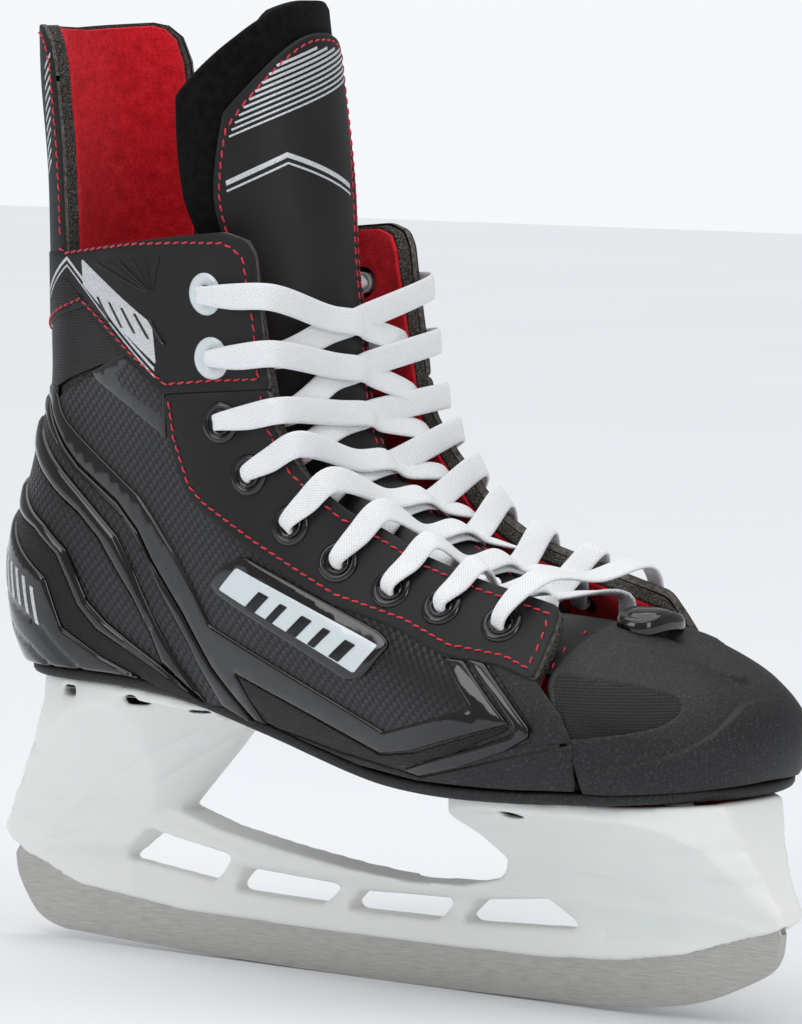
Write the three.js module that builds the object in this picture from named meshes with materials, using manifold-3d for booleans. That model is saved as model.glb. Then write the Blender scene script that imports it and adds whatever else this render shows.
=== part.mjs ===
// An ice hockey skate: a stiff laced boot riveted to a plastic holder that carries a steel runner.
// Millimetres, +X towards the toe, +Y to the inner (medial) side, +Z up.
// The origin is the middle of the runner's bottom edge, on the runner's centre plane.
import * as THREE from "three";
import { mergeVertices } from "three/addons/utils/BufferGeometryUtils.js";
import Module from "manifold-3d";

const wasm = await Module();
wasm.setup();

// ---------------------------------------------------------------- driving dimensions
const RUNNER = { thickness: 3, rocker: 2980, rear: -148, front: 148 };
const RAIL_HALF = 5.2; // half width of the holder's rail round the runner
const FIT = 0.3; // gap between pieces that touch
const SOLE = { outsole: 3.4, board: 2, footbed: 4 };
const SKIN = 1.9; // thickness of the boot's outer panels
const PADDING = { outer: 3.1, inner: 5 }; // depths below the outer surface
const LINER = { outer: 5.6, inner: 6.5 };
const TONGUE = { facing: 1.4, feltOuter: 2.1, feltInner: 7, foot: 117.4, facingTop: 284, feltTop: 291 };
const EYELET = { bore: 2.6, barrel: 3.3, flange: 6.3, hole: 3.7 };
const LACE_RADIUS = 1;
const AGLET = { radius: 1.6, length: 22 };
const BOLT = { head: 4, shank: 2, hole: 2.4 };
const BAR_MIDDLE = [77, 2.5, 126.5]; // the lace's lowest strand, over the tongue's foot
const RIVET = { head: 4.2, shank: 2.2, hole: 2.6, pocket: 3 };

// The boot's skeleton: a heel axis and a toe axis, with a straight side between them.
// A place on the boot is (s, z): s is x along the side, and goes on round the heel and toe
// as an arc length at these nominal radii; z is the height.
const HEEL = -98;
const TOE = 97;
const HEEL_RADIUS = 38;
const TOE_RADIUS = 45;
const HEEL_BACK = HEEL - (HEEL_RADIUS * Math.PI) / 2;
const HEEL_CORNER = HEEL - (HEEL_RADIUS * Math.PI) / 4;
const TOE_CORNER = TOE + (TOE_RADIUS * Math.PI) / 4;
const TOE_TIP = TOE + (TOE_RADIUS * Math.PI) / 2;
const FLEX_TONGUE_Z = 230;
const FLEX_GUARD_Z = 218;

// Lines plan. Each row is [s, value]; each section is [z, half breadth] at one station s.
const SOLE_LINE = [
  [HEEL_BACK, 86], [HEEL, 86], [-60, 84], [-22, 76], [20, 66], [45, 64],
  [80, 64.5], [TOE, 65.5], [TOE_TIP, 68],
];
const CROWN_LINE = [
  [HEEL_BACK, 300], [-55, 300], [-20, 235], [20, 165], [60, 140], [TOE, 131], [TOE_TIP, 101],
];
const CAP_CROWN_LINE = [[60, 118], [80, 117], [TOE, 115.5], [TOE_CORNER, 112], [TOE_TIP, 110]];
const SIDE_STATIONS = [HEEL, -85, -60, -42, -24, -8, 8, 26, 45, 62, 80];
const CENTRE_LINE = [[HEEL, 0], [-20, 0], [60, 2], [TOE_TIP, 7]];
const BOOT_SECTIONS = [
  [HEEL_BACK, [
    [86, 33], [100, 37.5], [115, 39.5], [128, 38.5], [145, 34], [160, 28.5],
    [175, 24], [190, 22.5], [215, 21.5], [240, 22], [270, 24.5], [300, 26],
  ]],
  [HEEL_CORNER, [
    [86, 30.5], [100, 36], [115, 37.7], [128, 37], [145, 32.8], [160, 29.5],
    [175, 26], [190, 25.5], [215, 25.3], [240, 25.8], [270, 28.5], [300, 29],
  ]],
  [HEEL, [
    [86, 28.5], [100, 33], [115, 35], [130, 35], [150, 33], [175, 31], [200, 32], [240, 33], [300, 34],
  ]],
  [-60, [[84, 29], [100, 34], [120, 37], [150, 38], [180, 40], [200, 40.5], [225, 40], [300, 38]]],
  [-20, [[76, 31], [90, 37], [110, 41.5], [130, 42.5], [150, 40.5], [170, 38.5], [200, 39.5], [235, 38]]],
  [20, [
    [66, 34], [80, 41], [95, 44.5], [108, 44.5], [120, 41.5], [130, 37.5], [141, 31], [152, 22], [165, 6],
  ]],
  [60, [
    [64, 41], [75, 46.5], [88, 49], [98, 47.5], [106, 44], [114, 38.5], [120, 34],
    [127, 28.5], [134, 20], [140, 6],
  ]],
  [TOE, [
    [65.5, 42], [74, 46.5], [84, 47.5], [92, 46], [100, 42], [107, 36], [114, 29.5],
    [120, 24], [126, 15], [131, 4],
  ]],
];
const CAP_SECTIONS = [
  [60, [[64, 41], [75, 46.5], [86, 48.5], [94, 46.5], [101, 42], [107, 34], [113, 22], [116, 12], [118, 2]]],
  [80, [[64.5, 43], [75, 47.5], [86, 49], [94, 46.5], [101, 41], [107, 33], [112, 23], [115, 12], [117, 2]]],
  [TOE, [
    [65.5, 42], [74, 46.5], [84, 47.5], [92, 45], [100, 38.5], [106, 29.5], [111, 19], [114, 9], [115.5, 2],
  ]],
  [TOE_CORNER, [
    [66.5, 40], [74, 44], [83, 45.5], [90, 43], [98, 36], [104, 27], [109, 16], [111, 8], [112, 2],
  ]],
  [TOE_TIP, [[68, 39], [76, 43], [84, 43.5], [91, 41], [98, 34], [103, 24], [107, 13], [109, 6], [110, 2]]],
];

// The tongue's crown line [z, x] and the radius of its cross-section [z, radius].
const TONGUE_CROWN = [
  [117, 60], [118.5, 57], [129.5, 39], [139, 20], [147.5, 8], [154, -1], [168, -9], [182, -12],
  [197, -14], [215, -17], [240, -20], [265, -24], [290, -28],
];
const FELT_HALF = [[117, 20], [124, 27], [140, 34], [170, 38], [210, 42], [240, 52], [290, 46]];
const FACING_HALF = [[117, 18], [124, 24], [140, 30], [170, 32], [210, 34], [240, 39], [284, 26]];
const TONGUE_RADIUS = [[117, 40], [139, 34], [160, 28], [210, 27], [240, 32], [290, 35]];

// Eyelets on the outer side, as [s, z], and the places on the flap's edge that the lace passes.
const EYELETS = [
  [-35, 207], [-33, 188], [-29, 169], [-18, 154], [-2, 140], [15, 130], [33, 123], [51, 119], [71, 115],
];
const FLAP_EDGE = [
  [-13, 206.5], [-11, 190], [-7.5, 173.5], [-2, 163.5], [8, 153], [22, 144], [39, 135.5], [57, 130],
  [76, 126],
];
const CROSSING_Z = [197, 183, 169, 154.5, 144, 135, 127, 119.5];

// ---------------------------------------------------------------- materials
const material = (color, roughness, metalness = 0) =>
  new THREE.MeshStandardMaterial({ color, roughness, metalness });
const BLACK_SYNTHETIC = material(0x2b2b2d, 0.6);
const CARBON_LOOK = material(0x26272a, 0.4);
const GLOSS_BLACK = material(0x0c0c0e, 0.12);
const GRAINED_BLACK = material(0x2a2b2c, 0.7);
const RED_BRUSHED = material(0xc00018, 0.95);
const GREY_FOAM = material(0x4a4845, 0.9);
const BLACK_FELT = material(0x151516, 1);
const WHITE_PLASTIC = material(0xe9eae6, 0.45);
const GLOSS_WHITE = material(0xe8ecef, 0.2);
const STEEL = material(0x8f8a86, 0.35, 1);
const DARK_STEEL = material(0x55555a, 0.4, 1);
const SOLE_BOARD = material(0x3a3a3c, 0.7);
const WHITE_LACE = material(0xf2f4f8, 0.9);

// ---------------------------------------------------------------- curves and surfaces
// A smooth curve through [knot, value] rows, held level past its ends.
function along(rows, t) {
  const last = rows.length - 1;
  if (t <= rows[0][0]) return rows[0][1];
  if (t >= rows[last][0]) return rows[last][1];
  let i = 0;
  while (t > rows[i + 1][0]) i += 1;
  const slope = (j) => {
    const a = rows[Math.max(j - 1, 0)];
    const b = rows[Math.min(j + 1, last)];
    return (b[1] - a[1]) / (b[0] - a[0]);
  };
  const span = rows[i + 1][0] - rows[i][0];
  const u = (t - rows[i][0]) / span;
  const blend = u * u * (3 - 2 * u);
  const leave = u * (1 - u) * (1 - u) * slope(i) * span;
  const arrive = u * u * (u - 1) * slope(i + 1) * span;
  return (1 - blend) * rows[i][1] + blend * rows[i + 1][1] + leave + arrive;
}

// Half breadth at (s, z), read at the same share of the height in every section.
function halfBreadth(s, z, sections, crown) {
  const share = (z - along(SOLE_LINE, s)) / (along(crown, s) - along(SOLE_LINE, s));
  const rows = sections.map(([station, section]) => {
    const low = along(SOLE_LINE, station);
    return [station, along(section, low + share * (along(crown, station) - low))];
  });
  // Beyond the back of the heel and the tip of the toe the other side begins, so the ends are level.
  const beyond = ([end], [next, value]) => [2 * end - next, value];
  const last = rows.length - 1;
  return along([beyond(rows[0], rows[1]), ...rows, beyond(rows[last], rows[last - 1])], s);
}

// A point of the boot's outer surface. w runs round the boot from the back of the heel:
// positive along the outer side, negative along the inner side.
function surfacePoint(w, z, sections, crown) {
  const s = HEEL_BACK + Math.abs(w);
  const side = w < 0 ? 1 : -1;
  const r = halfBreadth(s, z, sections, crown);
  const centre = along(CENTRE_LINE, s);
  if (s < HEEL) {
    const angle = (HEEL - s) / HEEL_RADIUS;
    return new THREE.Vector3(HEEL - r * Math.sin(angle), centre + side * r * Math.cos(angle), z);
  }
  if (s > TOE) {
    const angle = (s - TOE) / TOE_RADIUS;
    return new THREE.Vector3(TOE + r * Math.sin(angle), centre + side * r * Math.cos(angle), z);
  }
  return new THREE.Vector3(s, centre + side * r, z);
}
const bootSurface = (w, z) => surfacePoint(w, z, BOOT_SECTIONS, CROWN_LINE);
const capSurface = (w, z) => surfacePoint(w, z, CAP_SECTIONS, CAP_CROWN_LINE);

// A point of the tongue: arc is the distance round from its crown, z the height of the crown there.
function tongueSurface(arc, z) {
  const step = 0.5;
  const x = along(TONGUE_CROWN, z);
  const rise = new THREE.Vector2(along(TONGUE_CROWN, z + step) - along(TONGUE_CROWN, z - step), 2 * step);
  rise.normalize();
  const radius = along(TONGUE_RADIUS, z);
  const angle = arc / radius;
  const drop = radius * (1 - Math.cos(angle));
  return new THREE.Vector3(x - drop * rise.y, radius * Math.sin(angle), z + drop * rise.x);
}

// The outward normal of a surface, and the point at a depth below it.
function normalAt(surface, w, z) {
  const step = 0.4;
  const along1 = surface(w + step, z).sub(surface(w - step, z));
  const up = surface(w, z + step).sub(surface(w, z - step));
  return along1.cross(up).normalize();
}
const below = (surface, w, z, depth) =>
  surface(w, z).addScaledVector(normalAt(surface, w, z), -depth);

// ---------------------------------------------------------------- solids
function geometryOf(points, triangles) {
  const geometry = new THREE.BufferGeometry();
  geometry.setAttribute("position", new THREE.Float32BufferAttribute(points, 3));
  geometry.setIndex(triangles);
  return geometry;
}

function solidOf(geometry) {
  const bare = geometry.clone();
  bare.deleteAttribute("normal");
  bare.deleteAttribute("uv");
  const merged = mergeVertices(bare, 1e-4);
  const vertProperties = new Float32Array(merged.attributes.position.array);
  const triVerts = new Uint32Array(merged.index.array);
  return new wasm.Manifold(new wasm.Mesh({ numProp: 3, vertProperties, triVerts }));
}

function meshGeometry(solid) {
  const mesh = solid.getMesh();
  return geometryOf(Array.from(mesh.vertProperties), Array.from(mesh.triVerts));
}

const cut = (geometry, tools) =>
  meshGeometry(tools.reduce((body, tool) => body.subtract(solidOf(tool)), solidOf(geometry)));

// Twice the area of the triangle a, b, c in a flat layout, with heights shortened so that
// triangles come out tall, as the boot bends mostly round its upright axis.
const TALL = 0.35;
const twiceArea = (a, b, c) => TALL * ((b.x - a.x) * (c.y - a.y) - (c.x - a.x) * (b.y - a.y));

// Whether d lies inside the circle through a, b and c.
function insideCircle(a, b, c, d) {
  const rows = [a, b, c].map((p) => {
    const x = p.x - d.x;
    const y = TALL * (p.y - d.y);
    return [x, y, x * x + y * y];
  });
  const [[ax, ay, aa], [bx, by, bb], [cx, cy, cc]] = rows;
  return ax * (by * cc - bb * cy) - ay * (bx * cc - bb * cx) + aa * (bx * cy - by * cx) > 1e-6;
}

// Turns the shared edges of a triangulation until its triangles are as even as they can be.
function evened(points, triangles) {
  for (let pass = 0; pass < 30; pass += 1) {
    const owner = new Map();
    triangles.forEach(([a, b, c], t) => {
      [[a, b], [b, c], [c, a]].forEach(([i, j]) => owner.set(`${i}_${j}`, t));
    });
    const turned = new Set();
    triangles.forEach((corners, t) => {
      for (let k = 0; k < 3; k += 1) {
        const [a, b, c] = [corners[k], corners[(k + 1) % 3], corners[(k + 2) % 3]];
        const other = owner.get(`${b}_${a}`);
        if (other === undefined || turned.has(other) || turned.has(t)) continue;
        const d = triangles[other].find((v) => v !== a && v !== b);
        const [pa, pb, pc, pd] = [a, b, c, d].map((i) => points[i]);
        if (!insideCircle(pa, pb, pc, pd)) continue;
        if (twiceArea(pa, pd, pc) < 1e-3 || twiceArea(pd, pb, pc) < 1e-3) continue;
        triangles[t] = [a, d, c];
        triangles[other] = [d, b, c];
        turned.add(t);
        turned.add(other);
      }
    });
    if (!turned.size) break;
  }
  return triangles;
}

// Splits the edges of a flat triangulation that stray from a curved surface, until none does.
function refined(points, triangles, place, sag, longest) {
  const middles = new Map();
  const placed = points.map((p) => place(p));
  const middleOf = (a, b) => {
    const key = a < b ? `${a}_${b}` : `${b}_${a}`;
    if (!middles.has(key)) {
      const middle = points[a].clone().add(points[b]).multiplyScalar(0.5);
      const on = place(middle);
      const chord = placed[a].clone().add(placed[b]).multiplyScalar(0.5);
      const strays = on.distanceTo(chord) > sag || placed[a].distanceTo(placed[b]) > longest;
      middles.set(key, strays ? points.length : -1);
      if (strays) {
        points.push(middle);
        placed.push(on);
      }
    }
    return middles.get(key);
  };
  let current = evened(points, triangles);
  for (let round = 0; round < 9; round += 1) {
    const next = [];
    for (const [a, b, c] of current) {
      const m = [middleOf(a, b), middleOf(b, c), middleOf(c, a)];
      const split = m.filter((i) => i >= 0).length;
      const turn = Math.max(0, split === 1 ? m.findIndex((i) => i >= 0) : m.findIndex((i) => i < 0));
      const [p, q, r] = [[a, b, c], [b, c, a], [c, a, b]][turn];
      const [pq, qr, rp] = [m[turn], m[(turn + 1) % 3], m[(turn + 2) % 3]];
      if (split === 0) next.push([a, b, c]);
      else if (split === 1) next.push([p, pq, r], [pq, q, r]);
      else if (split === 2) next.push([p, q, qr], [p, qr, rp], [rp, qr, r]);
      else next.push([p, pq, rp], [pq, q, qr], [rp, qr, r], [pq, qr, rp]);
    }
    if (next.length === current.length) break;
    current = evened(points, next);
  }
  return current;
}

// A closed skin over part of a surface: outline and holes are [w, z] points.
function panel(surface, outline, outer, inner, holes = [], sag = 0.35, longest = 34) {
  const ring = (rows) => rows.map(([w, z]) => new THREE.Vector2(w, z));
  const contour = ring(outline);
  if (THREE.ShapeUtils.isClockWise(contour)) contour.reverse();
  const openings = holes.map(ring);
  const flat = THREE.ShapeUtils.triangulateShape(contour, openings);
  const points = contour.concat(...openings);
  const triangles = refined(points, flat, (p) => surface(p.x, p.y), sag, longest);
  const count = points.length;
  const position = [outer, inner].flatMap((depth) =>
    points.flatMap((p) => below(surface, p.x, p.y, depth).toArray()),
  );
  const edges = new Set();
  triangles.forEach(([a, b, c]) => [[a, b], [b, c], [c, a]].forEach(([i, j]) => edges.add(`${i}_${j}`)));
  const index = triangles.flatMap(([a, b, c]) => [a, b, c, c + count, b + count, a + count]);
  for (const edge of edges) {
    const [i, j] = edge.split("_").map(Number);
    if (!edges.has(`${j}_${i}`)) index.push(j, i, i + count, j, i + count, j + count);
  }
  return geometryOf(position, index);
}

// A round hole of a true radius at (w, z), as [w, z] points.
function roundHole(surface, w, z, radius, sides = 12) {
  const step = 0.4;
  const acrossW = surface(w + step, z).sub(surface(w - step, z)).divideScalar(2 * step);
  const acrossZ = surface(w, z + step).sub(surface(w, z - step)).divideScalar(2 * step);
  const e = acrossW.dot(acrossW);
  const f = acrossW.dot(acrossZ);
  const g = acrossZ.dot(acrossZ);
  const first = acrossW.clone().normalize();
  const second = normalAt(surface, w, z).cross(first);
  return Array.from({ length: sides }, (_, i) => {
    const angle = (2 * Math.PI * i) / sides;
    const reach = first.clone().multiplyScalar(radius * Math.cos(angle));
    reach.addScaledVector(second, radius * Math.sin(angle));
    const a = reach.dot(acrossW);
    const b = reach.dot(acrossZ);
    const determinant = e * g - f * f;
    return [w + (a * g - b * f) / determinant, z + (b * e - a * f) / determinant];
  });
}

// Outer side outlines are [s, z]; these turn them into [w, z], on the outer or the inner side.
const outerSide = (rows) => rows.map(([s, z]) => [s - HEEL_BACK, z]);
const innerSide = (rows) => rows.map(([s, z]) => [HEEL_BACK - s, z]).reverse();
// An outline that runs up to the back of the heel, doubled into one that wraps round it.
const roundHeel = (rows) => [...outerSide(rows), ...innerSide(rows)];
const SIDES = [["lateral", outerSide], ["medial", innerSide]];

// The boot's footprint at a height above the sole line, drawn in by an inset: pairs of
// [x, outer side y, inner side y], from the back of the heel to the tip of the toe.
function footprint(rise, inset) {
  const heelArc = [1, 0.8, 0.6, 0.4, 0.2].map((k) => HEEL - (k * HEEL_RADIUS * Math.PI) / 2);
  const toeArc = [0, 0.2, 0.4, 0.6, 0.8, 1].map((k) => TOE + (k * TOE_RADIUS * Math.PI) / 2);
  return [...heelArc, ...SIDE_STATIONS, ...toeArc].map((s) => {
    const surface = s >= TOE ? capSurface : bootSurface;
    const z = along(SOLE_LINE, s) + rise;
    const p = surface(s - HEEL_BACK, z);
    p.addScaledVector(normalAt(surface, s - HEEL_BACK, z).setZ(0).normalize(), -inset);
    return [p.x, p.y, 2 * along(CENTRE_LINE, s) - p.y];
  });
}

// A plate over a footprint, between two heights given by functions of x.
function slab(pairs, low, high) {
  const same = pairs.map(([, a, b]) => Math.abs(a - b) < 0.5);
  const points = [];
  const corner = pairs.map(([x, a, b], i) => {
    const ys = same[i] ? [(a + b) / 2] : [a, b];
    const first = points.length;
    ys.forEach((y) => points.push([x, y, low(x)], [x, y, high(x)]));
    return same[i] ? [first, first] : [first, first + 2];
  });
  const index = [];
  const quad = (a, b, c, d) => {
    if (a !== b && b !== c && a !== c) index.push(a, b, c);
    if (a !== c && c !== d && a !== d) index.push(a, c, d);
  };
  for (let i = 0; i + 1 < pairs.length; i += 1) {
    const [l, m] = corner[i];
    const [ln, mn] = corner[i + 1];
    quad(l + 1, ln + 1, mn + 1, m + 1);
    quad(l, m, mn, ln);
    quad(l, ln, ln + 1, l + 1);
    quad(m, m + 1, mn + 1, mn);
  }
  const [firstL, firstM] = corner[0];
  const [lastL, lastM] = corner[corner.length - 1];
  if (firstL !== firstM) quad(firstL, firstL + 1, firstM + 1, firstM);
  if (lastL !== lastM) quad(lastL, lastM, lastM + 1, lastL + 1);
  return geometryOf(points.flat(), index);
}

// Turns +Y onto a direction and moves the origin to a point.
function placed(geometry, point, direction) {
  const turn = new THREE.Quaternion().setFromUnitVectors(new THREE.Vector3(0, 1, 0), direction);
  return geometry.applyMatrix4(new THREE.Matrix4().compose(point, turn, new THREE.Vector3(1, 1, 1)));
}

function lathe(profile, segments) {
  return new THREE.LatheGeometry(profile.map(([r, y]) => new THREE.Vector2(r, y)), segments);
}

const post = (x, y, low, high, radius, sides = 12) => {
  const cylinder = new THREE.CylinderGeometry(radius, radius, high - low, sides);
  return placed(cylinder, new THREE.Vector3(x, y, (low + high) / 2), new THREE.Vector3(0, 0, 1));
};

// ---------------------------------------------------------------- the object
const skate = new THREE.Group();
function add(name, geometry, look) {
  const mesh = new THREE.Mesh(geometry, look);
  mesh.name = name;
  skate.add(mesh);
}

// Sole: outsole, insole board and footbed, drilled for the holder's rivets.
const RIVETS = [[-105, 19], [-78, 22], [-52, 22], [69, 27], [97, 27], [121, 19]];
const rivetPlaces = RIVETS.flatMap(([x, y]) => [-1, 1].map((side) => {
  const centre = along(CENTRE_LINE, x);
  return [x, centre + side * y];
}));
const soleZ = (x) => along(SOLE_LINE, Math.min(Math.max(x, -140), 139));
const boardZ = (x) => soleZ(x) + SOLE.outsole + FIT;
const bedZ = (x) => boardZ(x) + SOLE.board + FIT + 1.2;

function makeSole() {
  const drills = rivetPlaces.map(([x, y]) => post(x, y, 50, 100, RIVET.hole, 8));
  const outsole = slab(footprint(2, 0), soleZ, (x) => soleZ(x) + SOLE.outsole);
  add("outsole", cut(outsole, drills), BLACK_SYNTHETIC);
  const board = slab(footprint(7, 7.6), boardZ, (x) => boardZ(x) + SOLE.board);
  add("insole_board", cut(board, drills), SOLE_BOARD);
  add("footbed", slab(footprint(10, 8.6), bedZ, (x) => bedZ(x) + SOLE.footbed), BLACK_FELT);
}

// Outer panels.
const wallFoot = (s) => along(SOLE_LINE, s) + SOLE.outsole + 2.5 * FIT;
const footRow = (...stations) => stations.map((s) => [s, wallFoot(s)]);
const SEAM = 0.3; // half the gap between two panels
const COUNTER_EDGE = [[-63, 89.4], [-84, 100], [-99, 108], [-104, 115], [-111, 127], [HEEL_CORNER, 134]];
const EYESTAY_LOW = [
  [88, 100], [76, 104], [57, 106], [40, 112], [15, 118], [-16, 132], [-37, 143], [-43, 148], [-49, 163],
];
const CUFF_LOW = [[-12, 179], [-51, 176], [-70, 189], [-88, 201]];
const shifted = (rows, ds, dz) => rows.map(([s, z]) => [s + ds, z + dz]);

function makeQuarters() {
  const outline = [
    ...footRow(-60, ...SIDE_STATIONS.slice(3), TOE, 103),
    [104, 72], [99.5, 85], [88.4, 97.5],
    ...shifted(EYESTAY_LOW, 0, -SEAM).slice(1),
    [-52, 175.2], [-66, 185], [-85, 178.5], [-108, 170.5], [HEEL_BACK + SEAM, 165],
    [HEEL_BACK + SEAM, 137.5],
    ...shifted(COUNTER_EDGE, 0.8, 0.8).reverse(),
  ];
  for (const [side, turn] of SIDES) {
    add(`quarter_${side}`, panel(bootSurface, turn(outline), 0, SKIN), CARBON_LOOK);
  }
}

function makeHeel() {
  const counter = [...footRow(HEEL_BACK, HEEL, -85, -63), ...COUNTER_EDGE, [HEEL_BACK, 137]];
  add("heel_counter", panel(bootSurface, roundHeel(counter).filter(uniqueAtBack), 0, SKIN), GLOSS_BLACK);
  const band = [
    [HEEL_BACK, 165.6], [-108, 171.1], [-85, 179.1], [-66.5, 186], [-88, 200.2], [-96, 198.5],
    [-116, 193.5], [HEEL_BACK, 190],
  ];
  add("backstay", panel(bootSurface, roundHeel(band).filter(uniqueAtBack), 0, SKIN), BLACK_SYNTHETIC);
}
// The heel's centre line belongs to both halves of a wrapped outline: its second copy goes.
function uniqueAtBack([w, z], i, rows) {
  return w !== 0 || rows.findIndex(([u, v]) => Math.abs(u) < 1e-9 && v === z) === i;
}

function makeCuffs() {
  const outline = [
    ...shifted(CUFF_LOW, 0, SEAM), [-96, 199.2], [-116, 194.2], [HEEL_BACK + SEAM, 190.8],
    [HEEL_BACK + SEAM, 216], [-101, 217], [-70, 220.5], [-45, 223.5], [-28, 225], [-21, 223.5],
    [-18, 219], [-16, 206], [-14, 193],
  ];
  for (const [side, turn] of SIDES) {
    const holes = EYELETS.slice(0, 2).map((place) => {
      const [[w, z]] = turn([place]);
      return roundHole(bootSurface, w, z, EYELET.hole, 10);
    });
    add(`cuff_${side}`, panel(bootSurface, turn(outline), 0, SKIN, holes), BLACK_SYNTHETIC);
  }
}

const FLAP_FRONT = [[88, 101], [87.5, 109], [87, 115], [85, 120], [79, 122]];
const FLAP_TOP = [[62, 126], [37, 133], [14, 144.5], [-1, 156.5], [-10, 168]];

function makeEyestays() {
  const outline = [...shifted(EYESTAY_LOW, 0, SEAM).slice(1).reverse(), ...FLAP_FRONT, ...FLAP_TOP];
  outline.push([-12, 178.4], [-50.5, 175.4]);
  for (const [side, turn] of SIDES) {
    const holes = EYELETS.slice(2).map((place) => {
      const [[w, z]] = turn([place]);
      return roundHole(bootSurface, w, z, EYELET.hole, 10);
    });
    add(`eyestay_${side}`, panel(bootSurface, turn(outline), 0, SKIN, holes), BLACK_SYNTHETIC);
  }
}

// Padding and liner: one piece each, from flap to flap round the heel.
const LINING_SAG = 0.9;
function makeLining() {
  const outline = [
    ...footRow(HEEL_BACK, ...SIDE_STATIONS, 86).map(([s, z]) => [s, z + 0.4]),
    ...FLAP_FRONT.slice(0, 1).map(([s]) => [s - 1, 100]), ...FLAP_FRONT.slice(1), ...FLAP_TOP,
    [-12, 179], [-14, 193], [-16, 206], [-18, 219], [-21, 223], [-28, 224.5], [-45, 223],
    [-70, 220], [-101, 216.6], [HEEL_BACK, 215.6],
  ];
  const holes = EYELETS.flatMap((place) =>
    SIDES.map(([, turn]) => {
      const [[w, z]] = turn([place]);
      return roundHole(bootSurface, w, z, EYELET.hole + 1.1, 6);
    }),
  );
  const wrapped = roundHeel(outline).filter(uniqueAtBack);
  const padding = panel(bootSurface, wrapped, PADDING.outer, PADDING.inner, holes, LINING_SAG, 60);
  add("padding", padding, GREY_FOAM);
  add("liner", panel(bootSurface, wrapped, LINER.outer, LINER.inner, holes, LINING_SAG, 60), RED_BRUSHED);
}

// The tendon guard rises behind the ankle and flexes backwards.
function makeTendonGuard() {
  const outline = [
    [HEEL_BACK, FLEX_GUARD_Z], [-98, FLEX_GUARD_Z + 1.2], [-99, 250], [-103, 276], [-107, 283],
    [-116, 285.5], [HEEL_BACK, 284],
  ];
  const wrapped = roundHeel(outline).filter(uniqueAtBack);
  add("tendon_guard", panel(bootSurface, wrapped, 0, SKIN), BLACK_SYNTHETIC);
  add("tendon_foam", panel(bootSurface, wrapped, PADDING.outer, PADDING.inner), GREY_FOAM);
  add("tendon_liner", panel(bootSurface, wrapped, LINER.outer, LINER.inner), RED_BRUSHED);
}

// The toe cap is a dome: its sections run round the toe and close on the crown.
function makeToeCap() {
  const rear = (share) => along([[0, 105], [0.15, 104], [0.4, 100], [0.68, 90], [1, 90]], share);
  const shares = [0, 0.22, 0.44, 0.64, 0.8, 0.92, 1];
  const columns = 18;
  const span = TOE_TIP - HEEL_BACK;
  const layer = (depth) => shares.flatMap((share) =>
    Array.from({ length: columns + 1 }, (_, i) => {
      const first = rear(share);
      const turn = i / columns;
      const s = first + (1 - Math.abs(1 - 2 * turn)) * (TOE_TIP - first);
      const foot = wallFoot(s);
      const z = foot + share * (along(CAP_CROWN_LINE, s) - foot);
      const w = (turn < 0.5 ? 1 : -1) * Math.min(s - HEEL_BACK, span);
      return below(capSurface, w, Math.min(z, along(CAP_CROWN_LINE, s) - 0.4), depth).toArray();
    }),
  );
  const points = [...layer(0), ...layer(2.2)];
  const count = points.length / 2;
  const at = (row, column) => row * (columns + 1) + column;
  const faces = [];
  for (let row = 0; row + 1 < shares.length; row += 1) {
    for (let column = 0; column < columns; column += 1) {
      const a = at(row, column);
      const b = at(row, column + 1);
      const c = at(row + 1, column + 1);
      const d = at(row + 1, column);
      faces.push([a, b, c], [a, c, d]);
    }
  }
  // The crown's slit is closed across, from the rear edge to the middle of the toe.
  const top = shares.length - 1;
  for (let column = 0; column < columns / 2; column += 1) {
    const a = at(top, column);
    const b = at(top, column + 1);
    const c = at(top, columns - column - 1);
    const d = at(top, columns - column);
    if (b === c) faces.push([a, b, d]);
    else faces.push([a, b, c], [a, c, d]);
  }
  const edges = new Set();
  faces.forEach(([a, b, c]) => [[a, b], [b, c], [c, a]].forEach(([i, j]) => edges.add(`${i}_${j}`)));
  const index = faces.flatMap(([a, b, c]) => [a, b, c, c + count, b + count, a + count]);
  for (const edge of edges) {
    const [i, j] = edge.split("_").map(Number);
    if (!edges.has(`${j}_${i}`)) index.push(j, i, i + count, j, i + count, j + count);
  }
  add("toe_cap", geometryOf(points.flat(), index), GRAINED_BLACK);
}

// The vamp: a saddle under the flaps and the rear edge of the toe cap.
function makeVamp() {
  const [rear, front, foot] = [64, 94, 106];
  const crown = (s) => along(CAP_CROWN_LINE, s) - 0.3;
  const stations = [rear, 72, 80, 87, front];
  const rows = 7;
  const layer = (depth) => stations.flatMap((s) =>
    Array.from({ length: 2 * rows }, (_, i) => {
      const share = i < rows ? i / (rows - 1) : (2 * rows - 1 - i) / (rows - 1);
      const side = i < rows ? 1 : -1;
      const z = foot + Math.sin((share * Math.PI) / 2) * (crown(s) - foot);
      return below(capSurface, side * (s - HEEL_BACK), z, depth);
    }),
  );
  add("vamp", blanket(layer(2.8), layer(4.2), stations.length, 2 * rows), BLACK_SYNTHETIC);
}

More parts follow.
